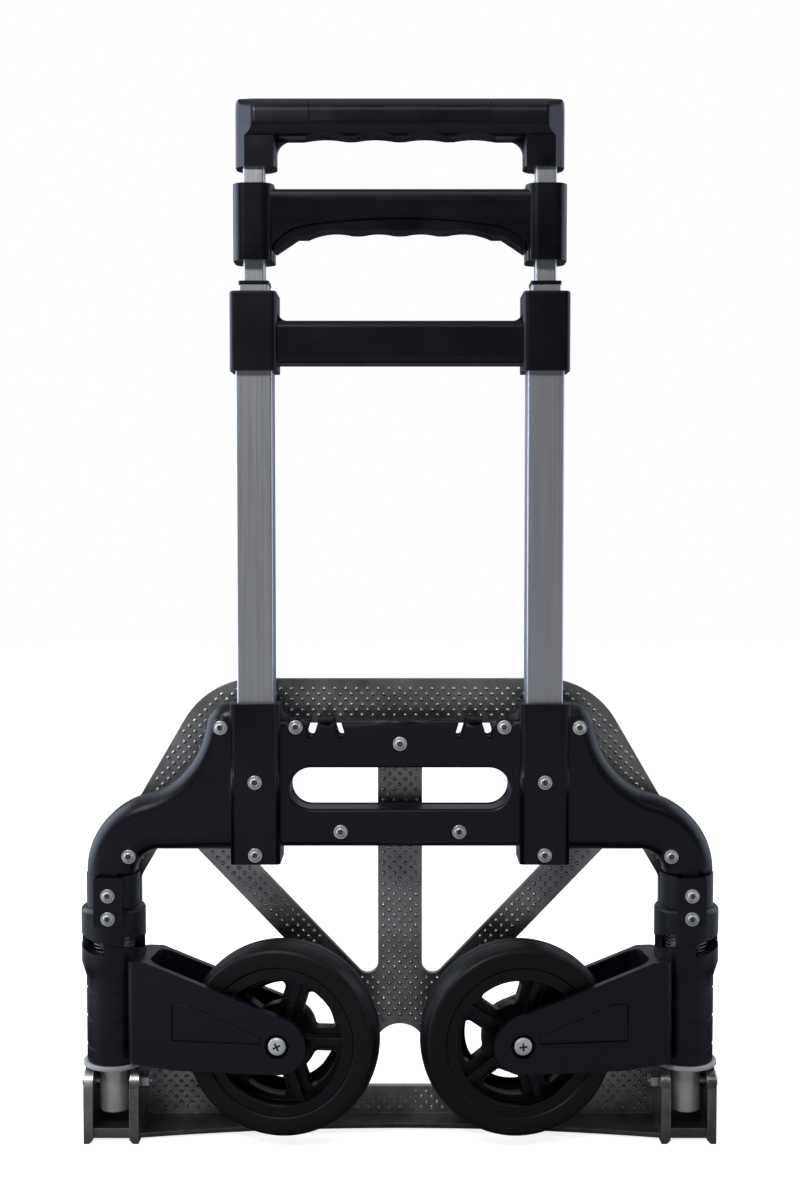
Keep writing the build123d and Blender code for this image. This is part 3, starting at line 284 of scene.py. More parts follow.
tubeMetal = {
    "dark": grey(0.55, tubeTint), "light": grey(0.64, tubeTint), "edge": grey(0.95), "edgeAmount": 0.4,
    "edgeRadius": 0.7 * mm, "edgeBreak": 90.0, "fine": 3200.0, "stretch": 0.012,
    "rough": (0.38, 0.44), "metal": 0.9, "bump": 0.12, "bumpDepth": 0.04 * mm,
}
castMetal = {
    "dark": grey(0.2, castTint), "light": grey(0.44, castTint), "edge": grey(0.9, (1.0, 0.99, 0.97)),
    "edgeAmount": 0.75, "edgeRadius": 0.9 * mm, "edgeBreak": 120.0, "fine": 1100.0, "stain": 26.0,
    "rough": (0.27, 0.36), "metal": 0.95, "bump": 0.4, "bumpDepth": 0.07 * mm,
}
# the studs take a lighter, glossier copy of the cast finish: partly polish from wear, partly a painted highlight
studMetal = dict(castMetal, dark=grey(0.44), light=grey(0.62), rough=(0.25, 0.3), bump=0.15)
zincMetal = {
    "dark": grey(0.6, zincTint), "light": grey(0.78, zincTint), "edge": grey(0.95), "edgeAmount": 0.7,
    "edgeRadius": 0.5 * mm, "edgeBreak": 240.0, "fine": 1500.0, "stain": 60.0,
    "rough": (0.24, 0.34), "metal": 0.95, "bump": 0.08, "bumpDepth": 0.03 * mm,
}
postMetal = dict(
    zincMetal, dark=grey(0.64, postTint), light=grey(0.78, postTint), rough=(0.34, 0.44), metal=0.7,
)
springMetal = dict(zincMetal, dark=grey(0.07), light=grey(0.15), rough=(0.28, 0.38), edgeAmount=0.2)
# a dark copy of the zinc finish: painted shade inside the cross recess of the axle bolts
recessShade = dict(zincMetal, dark=grey(0.03), light=grey(0.07), edge=grey(0.3), rough=(0.45, 0.6), metal=0.5)
screwSilver = dict(zincMetal, dark=grey(0.62), light=grey(0.8), rough=(0.3, 0.4), metal=0.65)
# a dark copy of the zinc finish: painted shade inside the screw sockets
socketShade = dict(zincMetal, dark=grey(0.1), light=grey(0.2), edge=grey(0.5), rough=(0.4, 0.5), metal=0.6)
boltWhite = dict(zincMetal, dark=grey(0.75), light=grey(0.9), rough=(0.32, 0.42), metal=0.4)

plastics = {
    "blackPlastic": blackPlastic, "gripPlastic": gripPlastic, "rimPlastic": rimPlastic,
    "tyreRubber": tyreRubber, "nylonWhite": nylonWhite, "seatShadeBlack": seatShadeBlack,
}
metals = {
    "tubeMetal": tubeMetal, "castMetal": castMetal, "studMetal": studMetal, "zincMetal": zincMetal,
    "postMetal": postMetal, "springMetal": springMetal, "recessShade": recessShade, "screwSilver": screwSilver,
    "socketShade": socketShade, "boltWhite": boltWhite,
}
finishes = {name: plasticFinish(name, look) for name, look in plastics.items()}
finishes.update({name: metalFinish(name, look) for name, look in metals.items()})
print("finishes made:", len(finishes))


# CAD pieces: finish and softened edges

softEdges = {
    # piece: (finish, edge rounding in mm)
    "rear_shell": ("blackPlastic", 0.7),
    "front_shell": ("blackPlastic", 0.7),
    "crossbar": ("blackPlastic", 0.6),
    "cam_collar": ("blackPlastic", 0.5),
    "wheel_fork": ("blackPlastic", 0.7),
    "wheel_rim": ("rimPlastic", 0.7),
    "mid_cap": ("blackPlastic", 0.3),
    "mid_foot": ("blackPlastic", 0.4),
    "inner_foot": ("blackPlastic", 0.4),
    "stile_bush": ("blackPlastic", 0.3),
    "toe_plate": ("castMetal", 0.8),
    "stile_tube": ("tubeMetal", 0.25),
    "mid_tube": ("tubeMetal", 0.25),
    "inner_tube": ("tubeMetal", 0.2),
    "leg_post": ("postMetal", 0.3),
    "hinge_bolt": ("zincMetal", 0.3),
    "hinge_nut": ("zincMetal", 0.5),
    "axle_nut": ("zincMetal", 0.5),
    "release_rod": ("zincMetal", 0.2),
    "lift_washer": ("nylonWhite", 0.5),
    "wheel_bush": ("nylonWhite", 0.3),
}
# lengths in mm, angles in degrees
softening = {"weld": 0.002, "tidy": 0.003, "flatAngle": 0.4, "edgeAngle": 32, "segments": 2}
# pieces whose rounded edges leave slivers
tidyGaps = {"rear_shell": 0.02, "front_shell": 0.02}


def softenNode(obj, finish, width, tidyGap=softening["tidy"]):
    obj.data.materials.clear()
    obj.data.materials.append(finish)
    weld = obj.modifiers.new("weld", "WELD")
    weld.merge_threshold = softening["weld"] * mm
    flat = obj.modifiers.new("flatFaces", "DECIMATE")
    flat.decimate_type = "DISSOLVE"
    flat.angle_limit = math.radians(softening["flatAngle"])
    bevel = obj.modifiers.new("softEdge", "BEVEL")
    bevel.width = width * mm
    bevel.segments = softening["segments"]
    bevel.limit_method = "ANGLE"
    bevel.angle_limit = math.radians(softening["edgeAngle"])
    bevel.use_clamp_overlap = True
    bevel.miter_outer = "MITER_ARC"
    tidy = obj.modifiers.new("tidy", "WELD")
    tidy.merge_threshold = tidyGap * mm
    weighted = obj.modifiers.new("weighted", "WEIGHTED_NORMAL")
    weighted.keep_sharp = False


for name, (finish, width) in softEdges.items():
    members = [name] if name in nodes else [f"{side}_{name}" for side in sides]
    for member in members:
        softenNode(nodes[member], finishes[finish], width, tidyGaps.get(name, softening["tidy"]))
print("CAD pieces finished:", len(softEdges))


# mesh helpers

outside = 4.0  # mm that a cutter reaches past its piece


def addObject(name, bm, finish, body, sharp=35):
    mesh = bpy.data.meshes.new(name)
    bmesh.ops.recalc_face_normals(bm, faces=bm.faces)
    bm.to_mesh(mesh)
    bm.free()
    mesh.polygons.foreach_set("use_smooth", [True] * len(mesh.polygons))
    mesh.set_sharp_from_angle(angle=math.radians(sharp))
    obj = bpy.data.objects.new(name, mesh)
    scene.collection.objects.link(obj)
    for item in finish if isinstance(finish, list) else [finish]:
        mesh.materials.append(finishes[item])
    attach(obj, body)
    return obj


def lathe(bm, profile, segments, place, lobes=None, slots=None, closed=False):
    # profile of (radius, height) points in mm, turned round the local Z axis
    rings = []
    for index, (radius, height) in enumerate(profile):
        if radius == 0:
            rings.append([bm.verts.new(place @ Vector((0, 0, height * mm)))])
            continue
        ring = []
        for step in range(segments):
            turn = 2 * math.pi * step / segments
            reach = radius * mm
            if lobes and index in lobes["rings"]:
                reach *= 1 + lobes["deep"] * math.cos(lobes["count"] * turn)
            point = Vector((reach * math.cos(turn), reach * math.sin(turn), height * mm))
            ring.append(bm.verts.new(place @ point))
        rings.append(ring)
    pairs = list(zip(rings, rings[1:]))
    if closed:
        pairs.append((rings[-1], rings[0]))
    for index, (low, high) in enumerate(pairs):
        for step in range(segments):
            after = (step + 1) % segments
            corners = [low[step % len(low)], low[after % len(low)]]
            corners += [high[after % len(high)], high[step % len(high)]]
            # a point on the axis leaves a triangle
            face = bm.faces.new(list(dict.fromkeys(corners)))
            if slots:
                face.material_index = slots[index]


def loft(levels):
    # closed solid through rings of equal count
    bm = bmesh.new()
    rings = [[bm.verts.new(point) for point in level] for level in levels]
    for low, high in zip(rings, rings[1:]):
        for step in range(len(low)):
            after = (step + 1) % len(low)
            bm.faces.new([low[step], low[after], high[after], high[step]])
    bm.faces.new(list(reversed(rings[0])))
    bm.faces.new(rings[-1])
    return bm


def carve(obj, cutter, slot=0):
    # the cut faces take the finish in this slot
    bmesh.ops.recalc_face_normals(cutter, faces=cutter.faces)
    mesh = bpy.data.meshes.new("cutter")
    cutter.to_mesh(mesh)
    cutter.free()
    for item in obj.data.materials:
        mesh.materials.append(item)
    for face in mesh.polygons:
        face.material_index = slot
    tool = bpy.data.objects.new("cutter", mesh)
    scene.collection.objects.link(tool)
    step = obj.modifiers.new("carve", "BOOLEAN")
    step.object = tool
    step.solver = "EXACT"
    bpy.context.view_layer.update()
    result = bmesh.new()
    result.from_object(obj, bpy.context.evaluated_depsgraph_get())
    bmesh.ops.remove_doubles(result, verts=result.verts, dist=softening["tidy"] * mm)
    bmesh.ops.dissolve_degenerate(result, dist=softening["tidy"] * mm, edges=result.edges)
    obj.modifiers.clear()
    result.to_mesh(obj.data)
    result.free()
    bpy.data.objects.remove(tool)


def copyNode(node):
    bm = bmesh.new()
    bm.from_mesh(nodes[node].data)
    bmesh.ops.remove_doubles(bm, verts=bm.verts, dist=softening["weld"] * mm)
    return bm


def axisFrame(origin, axis, roll=0.0):
    way = Vector(axis).normalized()
    turn = Vector((0, 0, 1)).rotation_difference(way).to_matrix().to_4x4()
    return Matrix.Translation(Vector(origin)) @ turn @ Matrix.Rotation(roll, 4, "Z")


def wheelFrame(side):
    spin = joints[f"{side}_wheel_spin"]
    return axisFrame(spin["pos_m"], -Vector(spin["axis"]))


def islands(node):
    # lowest and highest corner of each loose solid of a CAD piece
    bm = copyNode(node)
    left = set(bm.verts)
    found = []
    while left:
        queue = [left.pop()]
        group = []
        while queue:
            vert = queue.pop()
            group.append(vert.co.copy())
            for edge in vert.link_edges:
                other = edge.other_vert(vert)
                if other in left:
                    left.discard(other)
                    queue.append(other)
        low = Vector([min(point[k] for point in group) for k in range(3)])
        high = Vector([max(point[k] for point in group) for k in range(3)])
        found.append((low, high))
    bm.free()
    return sorted(found, key=lambda pair: tuple(round(value, 6) for value in pair[0]))


# top handle: slanted ends and sockets set back under the grip

topHandle = {
    "facetX": 11.5, "facetY": 9.5, "bend": 5.0, "bendSteps": 6, "corner": 3.6, "edge": 10.0, "backRound": 9.0,
    "roundSteps": 6, "levelGap": 0.12, "thinnest": 2.0, "socket": 25.3, "setBack": 4.5, "under": 15.0,
    "edgeSteps": 8, "leave": 0.15, "tongue": 0.9, "tongueReach": 0.25, "soft": 0.6, "endSoft": 0.3,
    "gripTall": 25.0, "fingerPitch": 31.0, "fingerDeep": 2.9,
}
fingerWave = {"grooves": 4, "trim": 0.9, "clear": 0.3, "steps": 60}


def outerEnd(low, high, side):
    # the handle's end on this side and the way inwards
    return (low.x, 1) if side == "left" else (high.x, -1)


def facetOutline(look):
    # plan of what is cut off a left front corner, from the corner at 0, 0
    slope = math.atan2(look["facetY"], look["facetX"])
    points = []
    bends = (((look["facetX"], 0), 0.0, slope), ((0, look["facetY"]), slope, math.pi / 2 - slope))
    for corner, start, sweep in bends:
        tangent = look["bend"] * math.tan(sweep / 2)
        first = Vector(corner) + tangent * Vector((math.cos(start), -math.sin(start)))
        middle = first + look["bend"] * Vector((math.sin(start), math.cos(start)))
        for step in range(look["bendSteps"] + 1):
            turn = start + sweep * step / look["bendSteps"]
            points.append(middle - look["bend"] * Vector((math.sin(turn), math.cos(turn))))
    return points


def facetCutter(look, low, high, side):
    end, way = outerEnd(low, high, side)
    plan = facetOutline(look)
    corners = ((-outside, plan[-1].y), (-outside, -outside), (plan[0].x, -outside))
    plan += [Vector(corner) for corner in corners]
    return loft([
        [Vector((end + way * point.x * mm, low.y + point.y * mm, height)) for point in plan]
        for height in (low.z - outside * mm, high.z + outside * mm)
    ])


def facetInset(plan, away):
    # how far the facet sets the front back at this distance from the end
    inset = 0.0
    for outer, inner in zip(plan[1:], plan):
        if outer.x <= away <= inner.x:
            inset = outer.y + (inner.y - outer.y) * (away - outer.x) / max(inner.x - outer.x, 1e-6)
    return inset


def roundOff(radius, away):
    # how far a rounded end falls back at this distance from it
    left = radius - min(away, radius)
    return radius - math.sqrt(radius ** 2 - left ** 2)


def gripSection(look, low, high, front, away):
    # half outlines in front and behind, from the foot to the crest
    steps = look["roundSteps"]
    drop = roundOff(look["corner"], away)
    back = roundOff(look["backRound"], away)
    tall = look["edge"] - drop
    halves = []
    for inset, face, turnWay in ((front, low.y, 1), (back, high.y, -1)):
        wide = max(look["edge"] - inset, look["thinnest"])
        half = [(face + turnWay * inset * mm, low.z)]
        for step in range(steps + 1):
            turn = math.pi / 2 * step / steps
            across = inset + wide * (1 - math.cos(turn))
            fall = drop + tall * (1 - math.sin(turn))
            half.append((face + turnWay * across * mm, high.z - fall * mm))
        halves.append(half)
    return halves[0] + halves[1][::-1]


def gripEnd(look, node, side):
    # sections along the handle, from its outer end inwards
    low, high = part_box(node)
    end, way = outerEnd(low, high, side)
    plan = facetOutline(look)
    steps = look["roundSteps"]
    places = [point.x for point in plan] + [(high.x - low.x) / mm]
    for radius in (look["corner"], look["backRound"]):
        places += [radius * (1 - math.cos(math.pi / 2 * step / steps)) for step in range(steps + 1)]
    levels = []
    last = None
    for away in sorted(places):
        if last is not None and away - last < look["levelGap"]:
            continue
        last = max(away, 0.0)
        ring = gripSection(look, low, high, facetInset(plan, last), last)
        levels.append([Vector((end + way * last * mm, y, z)) for y, z in ring])
    # a tongue closes the seam's gap
    middle = sum(levels[-1], Vector()) / len(levels[-1])
    levels.append([middle + (point - middle) * look["tongue"] for point in levels[-1]])
    levels.append([point + Vector((way * look["tongueReach"] * mm, 0, 0)) for point in levels[-1]])
    return loft(levels)


def socketCutter(look, low, high, side):
    # the grip's rounded lower edge goes on over the socket
    end, way = outerEnd(low, high, side)
    rise = high.z - look["under"] * mm
    foot = low.z - outside * mm
    outline = [(-outside, foot), (look["setBack"], foot)]
    for step in range(look["edgeSteps"] + 1):
        deep = look["setBack"] * (1 - step / look["edgeSteps"])
        drop = math.sqrt(look["edge"] ** 2 - (look["edge"] - deep) ** 2) + look["leave"]
        outline.append((deep, rise - drop * mm))
    outline.append((-outside, rise - look["leave"] * mm))
    return loft([
        [Vector((x, low.y + deep * mm, height)) for deep, height in outline]
        for x in (end - way * outside * mm, end + way * look["socket"] * mm)
    ])


def waveCutter(look, low, high, base, pitch, deep):
    # rounds the ridges between the finger grooves
    reach = (look["grooves"] - 1) / 2 * pitch
    fall = (deep - look["trim"] - look["clear"]) / 2
    outline = [(reach, -outside), (-reach, -outside)]
    for step in range(look["steps"] + 1):
        x = reach * (2 * step / look["steps"] - 1)
        outline.append((x, look["trim"] + fall * (1 - math.cos(2 * math.pi * x / pitch))))
    return loft([
        [Vector((x * mm, y, base + z * mm)) for x, z in outline]
        for y in (low.y - outside * mm, high.y + outside * mm)
    ])


def buildTopHandle(look):
    low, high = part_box("top_handle")
    grip = addObject("topGrip", copyNode("top_handle"), "gripPlastic", "upper_stage")
    for side in sides:
        carve(grip, facetCutter(look, low, high, side))
        carve(grip, socketCutter(look, low, high, side))
    base = high.z - look["gripTall"] * mm
    carve(grip, waveCutter(fingerWave, low, high, base, look["fingerPitch"], look["fingerDeep"]))
    softenNode(grip, finishes["gripPlastic"], look["soft"])
    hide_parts("top_handle")
    for side in sides:
        node = f"{side}_handle_cap"
        end = gripEnd(look, node, side)
        cap = addObject(f"{side}GripEnd", end, "gripPlastic", "upper_stage")
        softenNode(cap, finishes["gripPlastic"], look["endSoft"])
        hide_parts(node)


buildTopHandle(topHandle)


# trigger bar under the middle handle

triggerGrip = {"base": 11.2, "pitch": 26.6, "deep": 2.2, "soft": 0.7}


def buildTrigger(look):
    node = "release_trigger"
    low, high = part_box(node)
    bar = addObject("triggerBar", copyNode(node), "gripPlastic", "release_trigger")
    carve(bar, waveCutter(fingerWave, low, high, low.z + look["base"] * mm, look["pitch"], look["deep"]))
    softenNode(bar, finishes["gripPlastic"], look["soft"])
    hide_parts(node)


buildTrigger(triggerGrip)


# middle handle: its bar is crowned in front

middleGrip = {
    "socket": 25.6, "overlap": 2.2, "barBack": 2.0, "barTop": 3.0, "crest": 6.5, "over": 1.0, "crown": 20.0,
    "deepest": 1.6, "leave": 0.02, "fall": 15.0, "tall": 46.0, "steps": 10, "soft": 0.6,
}


def crownCutter(look, low, high):
    face = low.y + look["barBack"] * mm
    crest = high.z - (look["barTop"] + look["crest"]) * mm
    rise = look["crest"] + look["over"]
    outline = [(-outside, rise)]
    for step in range(look["steps"]):
        place = rise * (1 - step / look["steps"])
        outline.append((place ** 2 / (2 * look["crown"]) - look["leave"], place))
    # below the crest the face falls back in a smooth wave
    for step in range(look["steps"] + 1):
        share = step / look["steps"]
        deep = look["deepest"] * (1 - math.cos(math.pi * share)) / 2
        outline.append((deep - look["leave"], -look["fall"] * share))
    outline += [(look["deepest"], -look["tall"]), (-outside, -look["tall"])]
    reach = high.x - (look["socket"] - look["overlap"]) * mm
    return loft([
        [Vector((x, face + deep * mm, crest + place * mm)) for deep, place in outline]
        for x in (-reach, reach)
    ])


def buildMiddleHandle(look):
    low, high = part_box("middle_handle")
    grip = addObject("middleGrip", copyNode("middle_handle"), "gripPlastic", "upper_stage")
    carve(grip, crownCutter(look, low, high))
    softenNode(grip, finishes["gripPlastic"], look["soft"])
    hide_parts("middle_handle")


buildMiddleHandle(middleGrip)
print("handles shaped")


# body and collar screws: flanged heads with a lobed socket, the socket painted dark as its shade

screwHead = {
    "shank": 1.65, "seat": 2.0, "lobes": 6, "lobeDeep": 0.09, "segments": 36, "turnStep": 0.7,
    "head": (
        (4.5, 0.0), (4.5, 0.25), (4.35, 0.6), (4.05, 0.75), (3.65, 0.8),
        (3.4, 0.45), (3.15, 0.9), (2.8, 1.55), (2.3, 1.85), (2.0, 1.95),
    ),
    "socket": ((1.77, 1.89), (1.65, 1.7), (1.518, 0.7), (0.0, 0.45)),
}


def buildScrews(name, node, look):
    bm = bmesh.new()
    for number, (low, high) in enumerate(islands(node)):
        seat = low.y + look["seat"] * mm
        length = (high.y - seat) / mm
        outer = [(0.0, -length), (look["shank"], -length), (look["shank"], 0.0), *look["head"]]
        start, deep = len(outer), len(look["socket"]) - 1
        origin = ((low.x + high.x) / 2, seat, (low.z + high.z) / 2)
        place = axisFrame(origin, (0, -1, 0), number * look["turnStep"])
        lobes = {"rings": range(start, start + deep), "deep": look["lobeDeep"], "count": look["lobes"]}
        lathe(bm, outer + [*look["socket"]], look["segments"], place, lobes, [0] * start + [1] * deep)
    screws = addObject(name, bm, ["screwSilver", "socketShade"], "frame", sharp=40)
    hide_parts(node)


buildScrews("bodyScrews", "shell_screws", screwHead)
buildScrews("collarScrews", "collar_screws", screwHead)
print("screws built")


# axle bolts with a cross recess painted dark as its shade, on a black ring that paints the shade of the fork's
# recess round the head

axleBolt = {
    "shank": 4.0, "chamfer": 0.6, "segments": 48, "sharp": 35, "roll": {"left": 0.35, "right": 0.2},
    "washer": ((7.5, 0.0), (7.5, 0.4), (5.6, 0.4)),
    "head": ((5.6, 1.0), (5.48, 1.3), (5.1, 1.642), (4.1, 1.966), (2.6, 2.155), (0.0, 2.2)),
    "headHeight": 2.2, "arm": 0.62, "armLength": 2.7, "armDepth": 1.5, "armRise": 1.0,
    "footShare": 0.7, "topShare": 1.15,
}


def crossCutter(look, place):
    arm, reach, height = look["arm"], look["armLength"], look["headHeight"]
    outline = []
    for quarter in range(4):
        turn = Matrix.Rotation(quarter * math.pi / 2, 3, "Z")
        for x, y in ((reach, -arm), (reach, arm), (arm, arm)):
            outline.append(turn @ Vector((x * mm, y * mm, 0)))
    ends = ((look["footShare"], height - look["armDepth"]), (look["topShare"], height + look["armRise"]))
    return loft([
        [place @ Vector((point.x * share, point.y * share, level * mm)) for point in outline]
        for share, level in ends
    ])


def buildAxleBolt(side, look):
    node = f"{side}_axle_bolt"
    spin = joints[f"{side}_wheel_spin"]
    axis = -Vector(spin["axis"]).normalized()
    centre = Vector(spin["pos_m"])
    along = [(vert.co - centre).dot(axis) for vert in nodes[node].data.vertices]
    seat = max(along) - look["headHeight"] * mm
    foot = (min(along) - seat) / mm
    place = axisFrame(centre + axis * seat, axis, look["roll"][side])
    shank, chamfer = look["shank"], look["chamfer"]
    stem = [(0.0, foot), (shank - chamfer, foot), (shank, foot + chamfer), (shank, 0.0)]
    # the ring under the head and the cross recess take finishes painted dark as shade
    slots = [0] * (len(stem) - 1) + [2] * len(look["washer"]) + [0] * len(look["head"])
    bm = bmesh.new()
    lathe(bm, [*stem, *look["washer"], *look["head"]], look["segments"], place, slots=slots)
    finish = ["boltWhite", "recessShade", "seatShadeBlack"]
    bolt = addObject(f"{side}AxleBolt", bm, finish, f"{side}_bracket", sharp=40)
    # the cut faces of the cross recess take the painted shade finish in slot 1
    carve(bolt, crossCutter(look, place), 1)
    bolt.data.set_sharp_from_angle(angle=math.radians(look["sharp"]))
    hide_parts(node)


for side in sides:
    buildAxleBolt(side, axleBolt)
print("axle bolts built")


# panel in the sunk side of each fork, with a groove round it

armPanel = {
    "sunk": 1.4, "facing": 0.9995, "level": 0.05, "groove": 0.75, "sharpest": 0.4, "foot": 0.2, "rise": 0.85,
    "round": 0.3, "soft": 0.15,
}


def sunkOutline(node, axis, look):
    # edge of the recess floor, which lies this far behind the fork's front face
    bm = copyNode(node)
    bmesh.ops.recalc_face_normals(bm, faces=bm.faces)
    facing = [face for face in bm.faces if face.normal.dot(axis) > look["facing"]]
    levels = {face: face.calc_center_median().dot(axis) / mm for face in facing}
    floor = max(levels.values()) - look["sunk"]
    flat = {face for face in facing if abs(levels[face] - floor) < look["level"]}
    after = {}
    for face in flat:
        for loop in face.loops:
            if loop.link_loop_radial_next.face not in flat:
                after[loop.vert] = loop.link_loop_next.vert
    first = max(after, key=lambda vert: (vert.co.z, vert.co.x))
    outline, vert = [first.co.copy()], after[first]
    while vert is not first:
        outline.append(vert.co.copy())
        vert = after[vert]
    bm.free()
    return outline


def insetOutline(outline, axis, inset, sharpest):
    points = []
    for before, here, after in zip(outline[-1:] + outline[:-1], outline, outline[1:] + outline[:1]):
        inward = [axis.cross(way).normalized() for way in (here - before, after - here)]
        middle = (inward[0] + inward[1]).normalized()
        points.append(here + middle * inset / max(middle.dot(inward[0]), sharpest))
    return points


def buildArmPanel(side, look):
    axis = -Vector(joints[f"{side}_wheel_spin"]["axis"]).normalized()
    outline = sunkOutline(f"{side}_wheel_fork", axis, look)
    groove, rise, bend = look["groove"], look["rise"], look["round"]
    levels = []
    for inset, height in ((groove, -look["foot"]), (groove, rise - bend), (groove + bend, rise)):
        ring = insetOutline(outline, axis, inset * mm, look["sharpest"])
        levels.append([point + axis * height * mm for point in ring])
    panel = addObject(f"{side}ArmPanel", loft(levels), "blackPlastic", f"{side}_bracket")
    softenNode(panel, finishes["blackPlastic"], look["soft"])


for side in sides:
    buildArmPanel(side, armPanel)
print("fork panels built")


# tyres

tyreShape = {
    "bead": ((47.0, 0.0), (47.0, 13.6), (47.25, 14.0), (47.8, 14.75), (48.3, 15.0)),
    "half": 15.0, "flat": 56.1, "shoulder": 4.0, "turned": 76.0, "outer": 62.0, "crown": 35.6,
    "treadDrop": 0.05, "line": ((61.7, 0.3), (61.98, 0.0)), "steps": 8, "segments": 144,
}


def tyreProfile(look):
    half, bend = look["half"], look["shoulder"]
    wall = list(look["bead"])
    # round shoulder, then the low crown of the tread down to the mould's parting line
    for step in range(look["steps"] + 1):
        turn = math.radians(look["turned"]) * step / look["steps"]
        wall.append((look["flat"] + bend * math.sin(turn), half - bend * (1 - math.cos(turn))))
    edge = wall[-1][1]
    for step in range(1, look["steps"]):
        height = edge * (1 - step / look["steps"])
        wall.append((look["outer"] - look["treadDrop"] - height ** 2 / (2 * look["crown"]), height))
    wall += look["line"]
    return wall + [(radius, -height) for radius, height in reversed(wall[1:-1])]


def buildTyre(side, look):
    bm = bmesh.new()
    lathe(bm, tyreProfile(look), look["segments"], wheelFrame(side), closed=True)
    tyre = addObject(f"{side}Tyre", bm, "tyreRubber", f"{side}_wheel", sharp=50)
    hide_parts(f"{side}_tyre")


for side in sides:
    buildTyre(side, tyreShape)
print("tyres built")


# back of the rim, which closes in to a narrower lip

rimDish = {
    "profile": (
        (40.8, -3.2), (41.0, -3.4), (41.0, -13.3), (32.0, -13.3),
        (31.65, -13.15), (31.5, -12.8), (31.5, -12.1),
    ),
    "segments": 96,
}


def buildRimDish(side, look):
    bm = bmesh.new()
    lathe(bm, look["profile"], look["segments"], wheelFrame(side), closed=True)
    addObject(f"{side}RimDish", bm, "rimPlastic", f"{side}_wheel", sharp=30)


for side in sides:
    buildRimDish(side, rimDish)
print("rim dishes built")


# springs

liftCoil = {
    "wire": 0.6, "turns": 16, "perTurn": 36, "sides": 8, "stroke": 5.5, "flatTurns": 0.6, "flatRise": 0.07,
}
returnCoil = dict(liftCoil, wire=0.42, turns=5, perTurn=32, stroke=6.0)


def buildCoil(name, node, look, body):
    low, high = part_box(node)
    centre = (low + high) / 2
    wire = look["wire"] * mm
    radius = (high.x - low.x) / 2 - wire
    turns, flat = look["turns"], look["flatTurns"]
    count = turns * look["perTurn"]
    levels = []
    for step in range(count + 1):
        share = step / count
        turn = 2 * math.pi * turns * share
        # the end turns lie nearly flat
        rise = min(max((share * turns - flat) / (turns - 2 * flat), 0.0), 1.0)
        rise = (1 - look["flatRise"]) * rise + look["flatRise"] * share
        height = low.z + wire + (high.z - low.z - 2 * wire) * rise
        spoke = Vector((math.cos(turn), math.sin(turn), 0))
        middle = Vector((centre.x, centre.y, height)) + spoke * radius
        ring = []
        for corner in range(look["sides"]):
            angle = 2 * math.pi * corner / look["sides"]
            up = Vector((0, 0, wire * math.sin(angle)))
            ring.append(middle + spoke * wire * math.cos(angle) + up)
        levels.append(ring)
    coil = addObject(name, loft(levels), "springMetal", body, sharp=50)
    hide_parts(node)
    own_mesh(coil)


for side in sides:
    buildCoil(f"{side}LiftCoil", f"{side}_lift_spring", liftCoil, "frame")
    buildCoil(f"{side}ReturnCoil", f"{side}_return_spring", returnCoil, "upper_stage")
print("springs built")


# studs on the load face of the toe plate

plateStuds = {
    "pitch": 7.05, "row": 3.48, "topRow": 6.6, "radius": 1.4, "height": 1.25, "segments": 10,
    "border": 3.4, "probes": 8, "probeGap": 2.0, "level": 0.02,
    "profile": ((0.0, -0.15), (1.0, -0.15), (0.98, 0.08), (0.8, 0.56), (0.5, 0.86), (0.2, 0.98), (0.0, 1.0)),
}


def buildStuds(look):
    face = mounts["load_face"]["pos_m"][1]
    plate = nodes["toe_plate"].data
    corners = [vert.co for vert in plate.vertices]
    tree = BVHTree.FromPolygons(corners, [tuple(polygon.vertices) for polygon in plate.polygons])
    low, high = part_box("toe_plate")
    pitch, row, border = look["pitch"] * mm, look["row"] * mm, look["border"] * mm
    gap, level = look["probeGap"] * mm, look["level"] * mm
    profile = [(look["radius"] * radius, look["height"] * height) for radius, height in look["profile"]]
    turns = [2 * math.pi * step / look["probes"] for step in range(look["probes"])]

    def onFace(x, z):
        hit = tree.ray_cast(Vector((x, face - gap, z)), Vector((0, 1, 0)), 2 * gap)
        return hit[0] is not None and abs(hit[3] - gap) < level

    bm = bmesh.new()
    count = 0
    columns = int((high.x - low.x) / pitch) // 2 + 1
    for line in range(int((high.z - low.z) / row) + 1):
        z = high.z - look["topRow"] * mm - line * row
        for column in range(-columns, columns + 1):
            # every second row stands half a pitch aside
            x = (column + (0.5 if line % 2 else 0.0)) * pitch
            around = [(x + border * math.cos(turn), z + border * math.sin(turn)) for turn in turns]
            if all(onFace(*point) for point in [(x, z)] + around):
                lathe(bm, profile, look["segments"], axisFrame((x, face, z), (0, -1, 0)))
                count += 1
    addObject("plateStuds", bm, "studMetal", "toe_plate", sharp=80)
    print("studs on the toe plate:", count)


buildStuds(plateStuds)


# floor, light and camera

